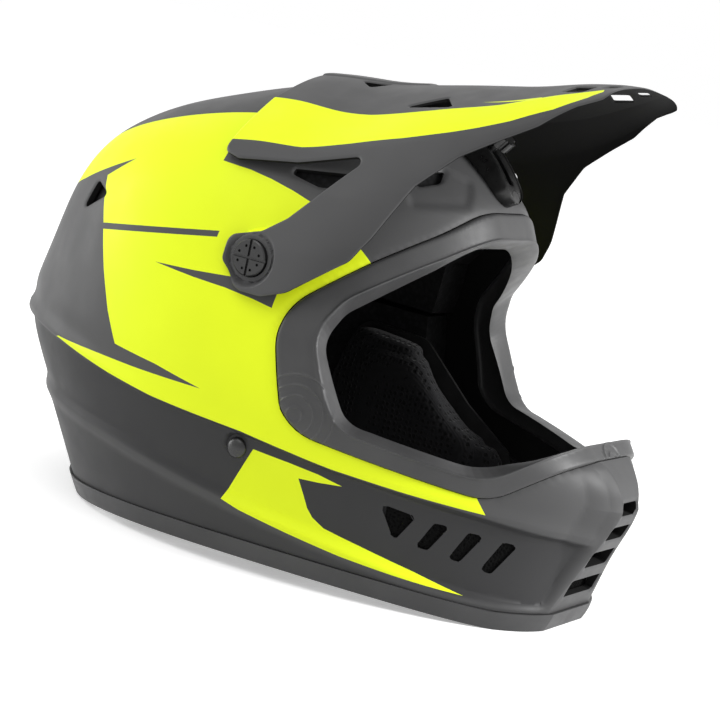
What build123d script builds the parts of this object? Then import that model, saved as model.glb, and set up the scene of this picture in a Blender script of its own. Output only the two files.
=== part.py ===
from build123d import *
import math
import os

# A full face helmet for downhill riding. Millimetres, +Z up, the chin points along -Y.
# The origin is on the table under the middle of the helmet, and X = 0 is its mirror plane.

# Main sizes of the outer shell
shell_length = 344.0
shell_width = 240.0
shell_height = 238.0
shell_wall = 4.2
half_length = shell_length / 2
half_width = shell_width / 2

# Recessed band between the two belt lines
band_recess_rear = 3.2
band_recess_side = 2.0
band_recess_front = 0.8

# Rubber trims
trim_stand = 0.9
trim_lip = 4.0
trim_lip_thick = 2.0
trim_depth = 11.0
trim_step_depth = 3.2
trim_step_width = 6.0
base_trim_height = 9.5
base_arch_rise = 6.5
base_foot_shares = (-0.83, 0.60)

# Liners, from the shell inwards
liner_gap = 0.4
crown_foam_thick = 24.0
chin_foam_thick = 13.0
crown_pad_thick = 7.0
cheek_face_share = 0.735
cheek_plate_thick = 2.0
cheek_pad_thick = 20.0
cheek_pad_corner_share = 0.07
snap_radius = 3.6
snap_depth = 4.0
neck_roll_half_height = 13.0
neck_roll_half_depth = 9.0
neck_roll_radius_share = 0.683
neck_roll_start_deg = 24.0

# Visor
visor_thick = 2.8
visor_tilt_down_deg = 12.0
pivot_y_share = -0.03
pivot_z_share = 0.639
pivot_y = pivot_y_share * half_length
pivot_z = pivot_z_share * shell_height

# Pivot hardware
pivot_seat_stand = 0.8
pivot_seat_radius = 13.0
screw_head_radius = 9.0
screw_head_thick = 3.4
screw_shank_radius = 3.0
screw_slot_width = 1.3
screw_slot_depth = 1.2
dimple_radius = 0.7
dimple_count = 8
insert_radius = 5.5
insert_flange_radius = 9.5
insert_flange_thick = 2.4
washer_radius = 9.0
running_gap = 0.3
seat_gap = 0.2

# Slotted bracket on the forehead
bracket_radius = 90.0
bracket_thick = 2.4
bracket_width = 22.0
bracket_slot_width = 5.4
thumbscrew_deg = 39.5
thumbscrew_shank_radius = 2.4
thumbscrew_head_radius = 7.0
thumbscrew_head_thick = 6.0
slide_nut_thick = 3.0

# Chin strap
strap_width = 22.0
strap_thick = 2.0
strap_bend_radius = 3.0
strap_y_share = -0.10
strap_rivet_z_share = 0.256
rivet_radius = 5.2
rivet_shank_radius = 2.0
ring_wire_radius = 1.5
ring_inner_height = 15.0

# Vents
vent_corner = 1.6
filter_thick = 3.0
channel_width = 12.0
channel_depth = 6.0
channel_shares = (-0.42, -0.14, 0.14, 0.42)
channel_run_share = 0.45

# Small parts
washer_thick = 2.2
pivot_boss_radius = 11.5
boss_rim = 1.6
dimple_circle_share = 0.66
tab_radius = 93.0
tab_thick = 3.0
tab_width = 15.0
tab_length = 46.0
bracket_end = 10.0
bracket_root_share = 0.8
bracket_over_share = 1.1
bracket_screw_inset = 6.5
bracket_screw_radius = 1.8
bracket_screw_head = 1.5
bracket_screw_head_radius = 3.4
slide_nut_length = 9.0
slide_nut_width = 13.0
thumbscrew_notches = 8
notch_radius = 1.3
anchor_thick = 1.6
anchor_width = 24.0
anchor_height = 15.0
anchor_spare = 1.0
rivet_head_thick = 1.6
rivet_dome_share = 0.55
rivet_seat_depth = 0.5
strap_slot_z_share = 0.185
strap_hang_gap = 6.0
strap_floor_gap = 4.0
strap_snap_z = 24.0
snap_post_radius = 1.8
snap_cap_radius = 5.0
snap_cap_thick = 1.2
ring_bar_z = 27.0
ring_corner_share = 0.75
ring_bend_share = 1.2

# Shared overruns of the cuts and of the body below its base
cut_extra = 60.0
base_overrun = 15.0

# Outlines of the body, from the base to the crown. Each row holds the front point and the
# rear point of a slanted outline in the mirror plane, the half width, the half width of the
# flat nose and the place of the widest point between front and rear.
body_shares = (
    ((-0.913, 0.000), (0.709, 0.000), 0.825, 0.200, 0.56),
    ((-0.936, 0.063), (0.820, 0.151), 0.900, 0.170, 0.56),
    ((-0.977, 0.189), (0.940, 0.303), 0.967, 0.085, 0.56),
    ((-1.000, 0.307), (0.988, 0.400), 0.996, 0.105, 0.55),
    ((-0.930, 0.387), (0.960, 0.496), 1.000, 0.165, 0.55),
    ((-0.773, 0.504), (0.919, 0.597), 0.983, 0.165, 0.55),
    ((-0.616, 0.618), (0.878, 0.689), 0.933, 0.150, 0.55),
    ((-0.523, 0.727), (0.797, 0.786), 0.842, 0.133, 0.54),
    ((-0.465, 0.819), (0.640, 0.870), 0.708, 0.117, 0.53),
    ((-0.337, 0.899), (0.448, 0.929), 0.533, 0.083, 0.52),
    ((-0.198, 0.954), (0.279, 0.971), 0.350, 0.058, 0.51),
    ((-0.058, 0.983), (0.151, 0.992), 0.167, 0.025, 0.50),
    ((0.010, 0.992), (0.084, 0.997), 0.060, 0.010, 0.50),
)
crown_share = (0.047, 0.9975)
front_power = 1.8
rear_power = 2.12
outline_steps = 4

# Side view of the lines that divide the body, front to rear
upper_belt_shares = (
    (-1.20, 0.110), (-0.965, 0.156), (-0.907, 0.202), (-0.773, 0.239), (-0.570, 0.252),
    (-0.378, 0.265), (-0.110, 0.294), (0.192, 0.311), (0.355, 0.328), (0.593, 0.357), (1.20, 0.380),
)
lower_belt_shares = (
    (-1.20, 0.036), (-0.884, 0.046), (-0.750, 0.055), (-0.541, 0.084), (-0.320, 0.113),
    (-0.105, 0.139), (0.134, 0.168), (0.355, 0.193), (0.558, 0.210), (1.20, 0.222),
)
port_edge_shares = (
    (-1.50, 0.828), (-0.478, 0.828), (-0.430, 0.765), (-0.302, 0.676), (-0.160, 0.568),
    (-0.150, 0.500), (-0.212, 0.360), (-0.262, 0.318), (-0.780, 0.264), (-0.975, 0.380),
    (-1.50, 0.560),
)
port_corner_shares = (0, 0, 0.05, 0.10, 0.16, 0.16, 0.05, 0.16, 0.12, 0, 0)
port_mouth_shares = (
    (-1.50, 0.752), (-0.515, 0.752), (-0.455, 0.700), (-0.300, 0.590), (-0.270, 0.520),
    (-0.390, 0.350), (-0.450, 0.346), (-0.760, 0.312), (-0.935, 0.412), (-1.50, 0.600),
)
mouth_corner_shares = (0, 0, 0.05, 0.09, 0.12, 0.09, 0.05, 0.14, 0, 0)

# Side view of the vents
side_vent_shares = (
    ((-0.517, 0.214), (-0.615, 0.202), (-0.567, 0.142)),
    ((-0.660, 0.196), (-0.700, 0.196), (-0.655, 0.138), (-0.622, 0.140)),
    ((-0.745, 0.190), (-0.782, 0.188), (-0.735, 0.126), (-0.706, 0.130)),
    ((-0.826, 0.182), (-0.860, 0.178), (-0.812, 0.112), (-0.785, 0.118)),
)
front_vent_shares = (
    (0.288, 0.022, 0.060), (0.236, 0.030, 0.070), (0.168, 0.038, 0.090), (0.094, 0.038, 0.115),
)
rear_vent_shares = ((0.640, 0.630), (0.615, 0.700), (0.535, 0.680))
brow_vent_shares = ((-0.345, 0.835), (-0.425, 0.868), (-0.400, 0.893))
scoop_vent_shares = ((-0.235, 0.845), (-0.235, 0.815), (-0.100, 0.800), (0.030, 0.822))

# Visor: one row for each cross-section, from rear to front. A row holds the station and
# then half of the inverted U, from the ridge to the foot: (half width, height).
visor_shares = (
    (0.215, ((0, 1.014), (0.483, 0.950), (0.772, 0.848), (0.890, 0.750), (0.970, 0.640), (1.000, 0.520))),
    (0.095, ((0, 1.024), (0.483, 0.957), (0.762, 0.859), (0.887, 0.764), (0.972, 0.647), (1.000, 0.520))),
    (-0.030, ((0, 1.030), (0.483, 0.955), (0.742, 0.868), (0.880, 0.780), (0.975, 0.655), (1.000, 0.520))),
    (-0.233, ((0, 1.055), (0.467, 0.983), (0.708, 0.905), (0.880, 0.800), (0.970, 0.680), (1.000, 0.520))),
    (-0.370, ((0, 1.074), (0.450, 1.012), (0.650, 0.940), (0.800, 0.835), (0.915, 0.720), (0.965, 0.540))),
    (-0.500, ((0, 1.092), (0.425, 1.040), (0.600, 0.975), (0.680, 0.905), (0.770, 0.800), (0.850, 0.600))),
    (-0.640, ((0, 1.118), (0.370, 1.082), (0.525, 1.030), (0.580, 0.965), (0.640, 0.860), (0.700, 0.700))),
    (-0.800, ((0, 1.140), (0.230, 1.132), (0.420, 1.104), (0.470, 1.050), (0.520, 0.950), (0.560, 0.800))),
)
visor_edge_shares = (
    (0.200, 1.25), (-0.900, 1.25), (-0.900, 1.118), (-0.793, 1.101), (-0.733, 1.078),
    (-0.663, 1.020), (-0.581, 0.979), (-0.488, 0.929), (-0.413, 0.857), (-0.366, 0.740),
    (-0.331, 0.685), (-0.169, 0.592), (-0.095, 0.571), (-0.012, 0.571), (0.055, 0.625),
    (0.055, 0.676), (-0.040, 0.698), (-0.105, 0.735), (-0.157, 0.782), (-0.238, 0.870),
    (-0.225, 0.886), (-0.047, 0.845), (0.134, 0.824), (0.190, 0.832),
)
visor_corner_shares = (
    0, 0, 0, 0, 0, 0.10, 0, 0.08, 0, 0,
    0.05, 0.10, 0.04, 0.05, 0.02, 0.03, 0.04, 0, 0.06, 0.015,
    0.02, 0, 0.01, 0.02,
)
visor_plan_shares = ((0.36, 1.2), (-0.45, 1.2), (-0.800, 0.43))
visor_front_radius_share = 0.13

# Vents in the top of the visor: half width and station of each corner
visor_vent_shares = (
    ((0.40, -0.20), (0.30, -0.30), (0.42, -0.36)),
    ((0.12, 0.05), (0.20, -0.01), (0.10, -0.05)),
    ((0.26, -0.64), (0.36, -0.63), (0.37, -0.69), (0.27, -0.70)),
    ((0.24, -0.73), (0.33, -0.72), (0.33, -0.76), (0.24, -0.77)),
)
visor_vent_floor_share = 0.93

# Liner limits in the side view
crown_foam_low_share = 0.200
crown_foam_shares = (
    (-0.70, 0.905), (-0.335, 0.775), (-0.120, 0.640), (-0.062, 0.512), (0.285, 0.512),
    (0.365, 0.270), (0.365, crown_foam_low_share), (1.30, crown_foam_low_share), (1.30, 1.30), (-0.70, 1.30),
)
cheek_foam_shares = (
    (-0.500, 0.095), (-0.500, 0.225), (-0.160, 0.270), (-0.075, 0.350), (-0.040, 0.500),
    (0.270, 0.500), (0.345, 0.270), (0.345, 0.095),
)
chin_foam_shares = ((-1.30, 0.066), (-1.30, 0.335), (-0.800, 0.225), (-0.515, 0.225), (-0.515, 0.084))
side_filter_shares = ((-0.870, 0.090), (-0.870, 0.212), (-0.525, 0.220), (-0.525, 0.120))
chin_filter_shares = ((-1.30, 0.068), (-1.30, 0.330), (-0.850, 0.330), (-0.850, 0.068))
chin_filter_half_share = 0.15
crown_pad_shares = ((-0.160, 1.20), (-0.160, 0.850), (-0.060, 0.660), (0.480, 0.620), (0.720, 0.900), (0.50, 1.20))
brow_pad_shares = ((-0.75, 0.960), (-0.345, 0.800), (-0.180, 0.700), (-0.095, 0.690), (-0.190, 0.860), (-0.30, 1.10))
nape_pad_shares = ((0.420, 0.260), (0.420, 0.560), (0.500, 0.590), (1.20, 0.760), (1.20, 0.260))
comfort_corner = 4.0
cheek_centre_share = (-0.140, 0.270)
cheek_pad_shares = (
    (-0.440, 0.105), (-0.440, 0.240), (-0.250, 0.330), (-0.060, 0.450), (0.180, 0.460),
    (0.235, 0.330), (0.235, 0.105),
)
cheek_crown_shares = ((0, 0.94), (0.22, 1.0), (0.60, 0.97), (0.85, 0.86), (1.0, 0.62))
snap_shares = ((-0.330, 0.170), (0.130, 0.170), (0.060, 0.390))
neck_roll_y_share = 0.174
channel_place_share = 0.30


upright = (Align.CENTER, Align.CENTER, Align.MIN)


def side_point(share):
    """A point of the side view, with Y across and Z up."""
    return (share[0] * half_length, share[1] * shell_height)


def side_points(shares):
    return [side_point(share) for share in shares]


def crosswise(face, reach=half_width + cut_extra):
    """A side-view face drawn out to both sides of the mirror plane."""
    return extrude(Plane.YZ * face, amount=reach, both=True)


def outline_face(shares, corner_shares=None):
    """A closed side-view outline with its corners rounded."""
    points = side_points(shares)
    if corner_shares is None:
        return make_face(Polyline(*points, close=True))
    radii = [share * half_length for share in corner_shares]
    return make_face(FilletPolyline(*points, radius=radii, close=True))


def unit(vector):
    size = math.hypot(vector[0], vector[1])
    return (vector[0] / size, vector[1] / size)


def pulled_in(points, amount, side):
    """A profile moved by amount to its inner side; side is +1 or -1 along the first axis."""
    moved = []
    last = len(points) - 1
    for index, point in enumerate(points):
        before = points[max(index - 1, 0)]
        after = points[min(index + 1, last)]
        along = unit((after[0] - before[0], after[1] - before[1]))
        moved.append((point[0] + side * along[1] * amount, point[1] - side * along[0] * amount))
    return moved


def body_rows(front_inset, side_inset, rear_inset):
    """Outlines of the body pulled in by the insets, with one more below the base."""
    fronts = side_points([row[0] for row in body_shares] + [crown_share])
    rears = side_points([row[1] for row in body_shares] + [crown_share])
    widths = [row[2] * half_width for row in body_shares] + [0]
    middles = [(front[1] + rear[1]) / 2 for front, rear in zip(fronts, rears)]
    flanks = pulled_in(list(zip(widths, middles)), side_inset, -1)
    fronts = pulled_in(fronts, front_inset, 1)
    rears = pulled_in(rears, rear_inset, -1)
    rows = []
    for index, row in enumerate(body_shares):
        nose = row[3] * half_width
        rows.append([fronts[index], rears[index], flanks[index][0], nose, row[4]])
    low = rows[0]
    next_up = rows[1]
    reach = base_overrun / (next_up[0][1] - low[0][1])
    front = tuple(a + (a - b) * reach for a, b in zip(low[0], next_up[0]))
    reach = base_overrun / (next_up[1][1] - low[1][1])
    rear = tuple(a + (a - b) * reach for a, b in zip(low[1], next_up[1]))
    rows.insert(0, [front, rear, low[2] - (next_up[2] - low[2]) * reach, low[3], low[4]])
    return rows


def body_outline(row):
    """One closed outline: the flat nose and a smooth sweep down each side to the rear."""
    front, rear, width, nose, share = row
    widest = front[0] + (rear[0] - front[0]) * share
    slope = (rear[1] - front[1]) / (rear[0] - front[0])
    points = []
    for step in range(outline_steps + 1):
        angle = math.pi / 2 * step / outline_steps
        x = nose + (width - nose) * math.sin(angle) ** (2 / front_power)
        y = widest - (widest - front[0]) * abs(math.cos(angle)) ** (2 / front_power)
        points.append((x, y))
    for step in range(1, outline_steps + 1):
        angle = math.pi / 2 * step / outline_steps
        x = width * abs(math.cos(angle)) ** (2 / rear_power)
        y = widest + (rear[0] - widest) * math.sin(angle) ** (2 / rear_power)
        points.append((x, y))
    points[-1] = (0, rear[0])
    right = [(x, y, front[1] + (y - front[0]) * slope) for x, y in points]
    left = [(-x, y, z) for x, y, z in right]
    sweep = right + left[-2::-1]
    return Wire([Line(left[0], right[0]).edge(), Spline(*sweep).edge()])


def body_form(front_inset=0, side_inset=None, rear_inset=None):
    """The solid body of the helmet, pulled in by the insets."""
    side_inset = front_inset if side_inset is None else side_inset
    rear_inset = front_inset if rear_inset is None else rear_inset
    rows = body_rows(front_inset, side_inset, rear_inset)
    return Solid.make_loft([body_outline(row) for row in rows])


def base_curve(height):
    """Side view of the arched base, raised by height: flat, arch, flat."""
    front = (-half_length - cut_extra, height)
    front_foot = (base_foot_shares[0] * half_length, height)
    rear_foot = (base_foot_shares[1] * half_length, height)
    rear = (half_length + cut_extra, height)
    middle = ((front_foot[0] + rear_foot[0]) / 2, height + base_arch_rise)
    return Line(front, front_foot) + ThreePointArc(front_foot, middle, rear_foot) + Line(rear_foot, rear)


def between_curves(low, high):
    """The block between two side-view lines that run the same way."""
    ends = Line(low @ 0, high @ 0) + Line(low @ 1, high @ 1)
    return crosswise(make_face(low + high + ends))


def base_slab(low, high):
    """The block between two heights above the arched base."""
    return between_curves(base_curve(low), base_curve(high))


def cross_cut(shares, radius=0):
    """A side-view outline drawn right across the helmet."""
    points = side_points(shares)
    if radius:
        return crosswise(make_face(FilletPolyline(*points, radius=radius, close=True)))
    return crosswise(make_face(Polyline(*points, close=True)))


def front_vents():
    """Four slots through the flat nose, wider towards the chin."""
    cuts = Part()
    for centre_share, height_share, width_share in front_vent_shares:
        height = height_share * shell_height
        width = width_share * shell_width
        slot = Plane.XZ * Pos(0, centre_share * shell_height) * RectangleRounded(width, height, vent_corner)
        cuts += extrude(Pos(0, -half_length - cut_extra / 2, 0) * slot, amount=-cut_extra)
    return cuts


def outer_vents():
    """Every vent cut through the shell: cheeks, nose, forehead, scoops and rear."""
    cuts = front_vents()
    for shares in side_vent_shares:
        cuts += cross_cut(shares, vent_corner)
    for shares in (rear_vent_shares, brow_vent_shares, scoop_vent_shares):
        cuts += cross_cut(shares, vent_corner)
    return cuts


def pivot_bore(radius):
    """A bore right across the helmet at the visor pivot."""
    return Pos(0, pivot_y, pivot_z) * Rot(0, 90, 0) * Cylinder(radius, shell_width + cut_extra)


def rivet_bore(radius):
    """A bore right across the helmet at the strap rivets."""
    place = Pos(0, strap_y_share * half_length, strap_rivet_z_share * shell_height)
    return place * Rot(0, 90, 0) * Cylinder(radius, shell_width + cut_extra)


def rivet_seat_x():
    """How far out the flat seat of a strap rivet lies."""
    band = body_form(band_recess_front, band_recess_side, band_recess_rear)
    return flank_x(band, strap_y_share * half_length, strap_rivet_z_share * shell_height) - rivet_seat_depth


def rivet_recesses():
    """The round flat seats of the two strap rivets."""
    y, z = side_point((strap_y_share, strap_rivet_z_share))
    start = rivet_seat_x()
    recess = along_x(y, z, start, start + cut_extra, rivet_radius + running_gap * 2)
    return recess + mirror(recess, about=Plane.YZ)


def pivot_seats(body):
    """The body with a flat round seat for the visor's washer on each side."""
    seat_x = pivot_stack()[0]
    for turn in (0, 180):
        y = pivot_y if turn == 0 else -pivot_y
        body += Rot(0, 0, turn) * along_x(y, pivot_z, 0, seat_x, pivot_seat_radius)
        body -= Rot(0, 0, turn) * along_x(y, pivot_z, seat_x, seat_x + cut_extra, pivot_seat_radius)
    return body


def make_outer_shell():
    """The painted shell: dome and chin bar in one, with a recessed band round its flanks."""
    full = pivot_seats(body_form())
    band = Spline(*side_points(lower_belt_shares)), Spline(*side_points(upper_belt_shares))
    recess = between_curves(*band) & full
    recess -= body_form(band_recess_front, band_recess_side, band_recess_rear)
    shell = full - body_form(shell_wall)
    shell = shell & base_slab(base_trim_height, shell_height + cut_extra)
    shell -= recess
    shell -= crosswise(outline_face(port_edge_shares, port_corner_shares))
    shell -= outer_vents()
    shell -= pivot_bore(insert_radius + seat_gap)
    shell -= rivet_bore(rivet_shank_radius + seat_gap)
    shell -= rivet_recesses()
    return shell - bracket_holes()


def make_eye_port_trim():
    """The moulded rubber edge of the eye port: a stepped face and a lip behind the shell."""
    edge = outline_face(port_edge_shares, port_corner_shares)
    mouth = outline_face(port_mouth_shares, mouth_corner_shares)
    trim = crosswise(offset(edge, amount=-seat_gap) - mouth) & body_form(-trim_stand)
    trim -= body_form(trim_depth)
    trim -= crosswise(offset(mouth, amount=trim_step_width)) - body_form(trim_step_depth)
    lip_start = shell_wall + seat_gap
    lip = crosswise(offset(edge, amount=trim_lip) - mouth) & body_form(lip_start)
    return trim + (lip - body_form(lip_start + trim_lip_thick))


def make_base_trim():
    """The rubber edge round the neck opening, flat at front and rear where it stands."""
    inside = body_form(shell_wall + seat_gap + trim_lip_thick)
    ring = base_slab(0, base_trim_height - seat_gap) & body_form(-trim_stand)
    lip = base_slab(base_trim_height / 2, base_trim_height + trim_lip) & body_form(shell_wall + seat_gap)
    return (ring - inside) + (lip - inside)


def make_crown_foam():
    """The foam bowl that takes the impact, with air channels along its inside."""
    start = shell_wall + liner_gap
    bowl = cross_cut(crown_foam_shares) & body_form(start)
    bowl -= body_form(start + crown_foam_thick)
    inside = body_form(start + crown_foam_thick - channel_depth)
    for share in channel_shares:
        run = Box(channel_width, channel_run_share * shell_length, shell_height)
        bowl -= inside & (Pos(share * half_width, half_length * channel_place_share, shell_height / 2) * run)
    pocket = pivot_bore(insert_flange_radius + running_gap) - body_form(start + insert_flange_thick * 2)
    return bowl - pocket


def middle_block(half_span):
    """Everything within half_span of the mirror plane."""
    return Box(half_span * 2, (shell_length + cut_extra) * 2, (shell_height + cut_extra) * 2)


def on_left(solid):
    """The part of a solid at +X, the wearer's left."""
    reach = half_width + cut_extra
    return solid & (Pos(reach / 2, 0, shell_height / 2) * Box(reach, shell_length * 2, shell_height * 2))


def make_chin_foam():
    """Foam behind one side of the chin bar, open behind the vents."""
    block = on_left(cross_cut(chin_foam_shares) - cross_cut(side_filter_shares))
    block -= middle_block(chin_filter_half_share * half_width + seat_gap)
    foam = block & body_form(shell_wall + liner_gap)
    return foam - body_form(shell_wall + liner_gap + chin_foam_thick)


def make_side_filter():
    """A sheet of open foam behind the cheek vents of one side."""
    block = on_left(cross_cut(side_filter_shares))
    sheet = block & body_form(shell_wall + liner_gap)
    return sheet - body_form(shell_wall + liner_gap + filter_thick)


def make_chin_filter():
    """A sheet of open foam behind the four slots of the nose."""
    block = cross_cut(chin_filter_shares) & middle_block(chin_filter_half_share * half_width)
    sheet = block & body_form(shell_wall + liner_gap)
    return sheet - body_form(shell_wall + liner_gap + filter_thick)


def make_cheek_foam():
    """Foam between the shell and the cheek plate, flat on the inside."""
    face_x = cheek_face_share * half_width
    foam = body_form(shell_wall + liner_gap) & cross_cut(cheek_foam_shares)
    foam = on_left(foam - middle_block(face_x))
    for y, z in side_points(snap_shares):
        foam -= Pos(face_x, y, z) * Rot(0, 90, 0) * Cylinder(snap_radius + seat_gap, snap_depth * 2)
    return foam - strap_slot()


def strap_slot():
    """The passage of the chin strap through foam, plate and pad."""
    y, z = side_point((strap_y_share, strap_slot_z_share))
    width = strap_width + running_gap * 4
    height = strap_thick + running_gap * 4
    return Pos(half_width / 2, y, z) * Box(half_width * 2, width, height)


def cheek_outline(scale, x):
    """The cheek pad outline at distance x from the mirror plane."""
    centre = side_point(cheek_centre_share)
    points = []
    for y, z in side_points(cheek_pad_shares):
        points.append((centre[0] + (y - centre[0]) * scale, centre[1] + (z - centre[1]) * scale))
    radius = cheek_pad_corner_share * half_length * scale
    line = FilletPolyline(*points, radius=radius, close=True)
    return (Plane.YZ.offset(x) * line).wire()


def make_cheek_plate():
    """The stiff plate behind a cheek pad, with the male halves of its snaps."""
    face_x = cheek_face_share * half_width - seat_gap
    plate = Solid.make_loft([cheek_outline(1, face_x - cheek_plate_thick), cheek_outline(1, face_x)])
    return plate - strap_slot()


def make_cheek_snaps():
    """Round snaps between plate and foam, three to a side."""
    length = snap_depth - seat_gap * 2
    snaps = []
    for y, z in side_points(snap_shares):
        stud = Rot(0, 90, 0) * Cylinder(snap_radius, length)
        snaps.append(Pos(cheek_face_share * half_width + length / 2, y, z) * stud)
    return snaps + [mirror(snap, about=Plane.YZ) for snap in snaps]


def make_cheek_pad():
    """A crowned cushion, widest near its plate and drawn in at its back and its face."""
    back_x = cheek_face_share * half_width - cheek_plate_thick - seat_gap * 2
    wires = []
    for depth_share, scale in cheek_crown_shares:
        wires.append(cheek_outline(scale, back_x - depth_share * cheek_pad_thick))
    return Solid.make_loft(wires) - strap_slot()


def comfort_layer(shares):
    """One comfort pad against the inside of the foam bowl."""
    start = shell_wall + liner_gap * 2 + crown_foam_thick
    pad = cross_cut(shares, comfort_corner) & body_form(start)
    return pad - body_form(start + crown_pad_thick)


def make_neck_roll():
    """The padded roll along the rear of the neck opening."""
    radius = neck_roll_radius_share * half_width
    height = crown_foam_low_share * shell_height - running_gap - neck_roll_half_height
    y = neck_roll_y_share * half_length
    arc = CenterArc((0, y, height), radius, neck_roll_start_deg, 180 - neck_roll_start_deg * 2)
    start = Plane(origin=arc @ 0, z_dir=arc % 0, x_dir=(0, 0, 1))
    return sweep(start * Ellipse(neck_roll_half_height, neck_roll_half_depth), path=arc)


def visor_section(station, points, inset):
    """One closed cross-section of the visor: ridge, shoulders, flanks and open foot."""
    scaled = [(x * half_width, z * shell_height) for x, z in points]
    scaled = pulled_in(scaled, inset, 1)
    scaled[0] = (0, scaled[0][1])
    right = [(x, station, z) for x, z in scaled]
    left = [(-x, station, z) for x, z in scaled[1:]]
    top = Spline(left[0], right[0], right[1])
    right_flank = Spline(*right[1:])
    foot = Line(right[-1], left[-1])
    left_flank = Spline(*left[::-1])
    return Wire([top.edge(), right_flank.edge(), foot.edge(), left_flank.edge()])


def visor_form(inset, overrun):
    """The solid under the visor's outer surface, pulled in by inset."""
    wires = []
    last = len(visor_shares) - 1
    for index, (station_share, points) in enumerate(visor_shares):
        station = station_share * half_length
        station += overrun if index == 0 else 0
        station -= overrun if index == last else 0
        wires.append(visor_section(station, points, inset))
    return Solid.make_loft(wires)


def visor_outline():
    """The side view of the visor: peak, arms and the two flank windows."""
    return crosswise(outline_face(visor_edge_shares, visor_corner_shares))


def visor_plan():
    """The plan view of the visor, with round front corners."""
    half = [(x * half_width, y * half_length) for y, x in visor_plan_shares]
    points = half + [(-x, y) for x, y in half[::-1]]
    radius = visor_front_radius_share * half_length
    line = FilletPolyline(*points, radius=[0, 0, radius, radius, 0, 0], close=True)
    return extrude(make_face(line), amount=shell_height * 2)


def radial_plane(angle_deg, radius):
    """A plane square to the ray from the pivot at angle_deg forward of straight up."""
    angle = math.radians(angle_deg)
    ray = (0, -math.sin(angle), math.cos(angle))
    origin = (0, pivot_y + ray[1] * radius, pivot_z + ray[2] * radius)
    return Plane(origin=origin, x_dir=(1, 0, 0), z_dir=ray)


def pivot_sector(inner, outer, rear_deg, front_deg, width):
    """A block between two radii about the pivot and between two angles."""
    def place(radius, angle_deg):
        angle = math.radians(angle_deg)
        return (pivot_y - math.sin(angle) * radius, pivot_z + math.cos(angle) * radius)

    middle = (rear_deg + front_deg) / 2
    edges = [
        ThreePointArc(place(inner, rear_deg), place(inner, middle), place(inner, front_deg)),
        Line(place(inner, front_deg), place(outer, front_deg)),
        ThreePointArc(place(outer, front_deg), place(outer, middle), place(outer, rear_deg)),
        Line(place(outer, rear_deg), place(inner, rear_deg)),
    ]
    return crosswise(make_face(edges), width / 2)


def flank_x(body, y, z):
    """How far the body reaches to the side at a point of the side view."""
    hits = body.find_intersection_points(Axis((0, y, z), (1, 0, 0)))
    return max(point.X for point, normal in hits)


def along_x(y, z, start, end, radius):
    """A round bar along X between two distances from the mirror plane."""
    bar = Cylinder(radius, end - start, align=upright)
    return Pos(start, y, z) * Rot(0, 90, 0) * bar


def pivot_stack():
    """Distances from the mirror plane of the seats at the visor pivot, inside to outside."""
    shell_x = flank_x(body_form(), pivot_y, pivot_z) + pivot_seat_stand
    boss_x = shell_x + washer_thick + running_gap
    seat_x = boss_x + visor_thick
    return shell_x, boss_x, seat_x


def visor_tab():
    """The tab in the mirror plane that the thumbscrew clamps to the bracket."""
    plane = radial_plane(thumbscrew_deg, tab_radius)
    reach = tab_length
    strip = Box(tab_width, reach, tab_thick, align=(Align.CENTER, Align.MIN, Align.MIN))
    nose = Cylinder(tab_width / 2, tab_thick, align=upright)
    return plane * (strip + nose)


def make_visor():
    """The visor: a thin arched peak with two arms that clamp at the pivots."""
    outer = visor_form(0, visor_thick * 2)
    inner = visor_form(visor_thick, visor_thick * 2)
    visor = (outer - inner) & visor_outline() & visor_plan()
    visor -= visor_vents()
    shell_x, boss_x, seat_x = pivot_stack()
    head_top = seat_x + screw_head_thick
    for turn in (0, 180):
        side = Rot(0, 0, turn)
        y = pivot_y if turn == 0 else -pivot_y
        visor += side * along_x(y, pivot_z, boss_x, seat_x + boss_rim, pivot_boss_radius)
        visor -= side * along_x(y, pivot_z, seat_x, head_top + cut_extra, screw_head_radius + running_gap)
        visor -= side * along_x(y, pivot_z, shell_x, head_top, screw_shank_radius + running_gap)
    tab = visor_tab() & visor_form(visor_thick / 2, 0)
    hole = radial_plane(thumbscrew_deg, tab_radius) * Cylinder(
        thumbscrew_shank_radius + running_gap, tab_thick * 4
    )
    return visor + tab - hole


def visor_vents():
    """Vents through the top of the visor, mirrored left to right."""
    cuts = Part()
    for shares in visor_vent_shares:
        points = [(x * half_width, y * half_length) for x, y in shares]
        face = make_face(FilletPolyline(*points, radius=vent_corner, close=True))
        cut = extrude(Pos(0, 0, shell_height * visor_vent_floor_share) * face, amount=shell_height)
        cuts += cut
        cuts += mirror(cut, about=Plane.YZ)
    return cuts


def make_visor_screw():
    """A flat-headed pivot screw with a cross slot and a ring of dimples, at +X."""
    shell_x, boss_x, seat_x = pivot_stack()
    head_x = seat_x + running_gap
    top_x = head_x + screw_head_thick
    end_x = shell_x - shell_wall - insert_flange_thick
    screw = along_x(pivot_y, pivot_z, head_x, top_x, screw_head_radius)
    screw = chamfer(screw.faces().sort_by(Axis.X)[-1].edges(), screw_slot_depth / 2)
    screw += along_x(pivot_y, pivot_z, end_x, head_x, screw_shank_radius)
    centre = Pos(top_x, pivot_y, pivot_z)
    for turn in (0, 90):
        slot = Box(screw_slot_depth * 2, screw_slot_width, screw_head_radius * 3)
        screw -= centre * Rot(turn, 0, 0) * slot
    for index in range(dimple_count):
        turn = 360 / dimple_count * (index + 0.5)
        dimple = Pos(0, screw_head_radius * dimple_circle_share, 0) * Rot(0, 90, 0)
        screw -= centre * Rot(turn, 0, 0) * dimple * Cylinder(dimple_radius, screw_slot_depth * 2)
    return screw


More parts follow.
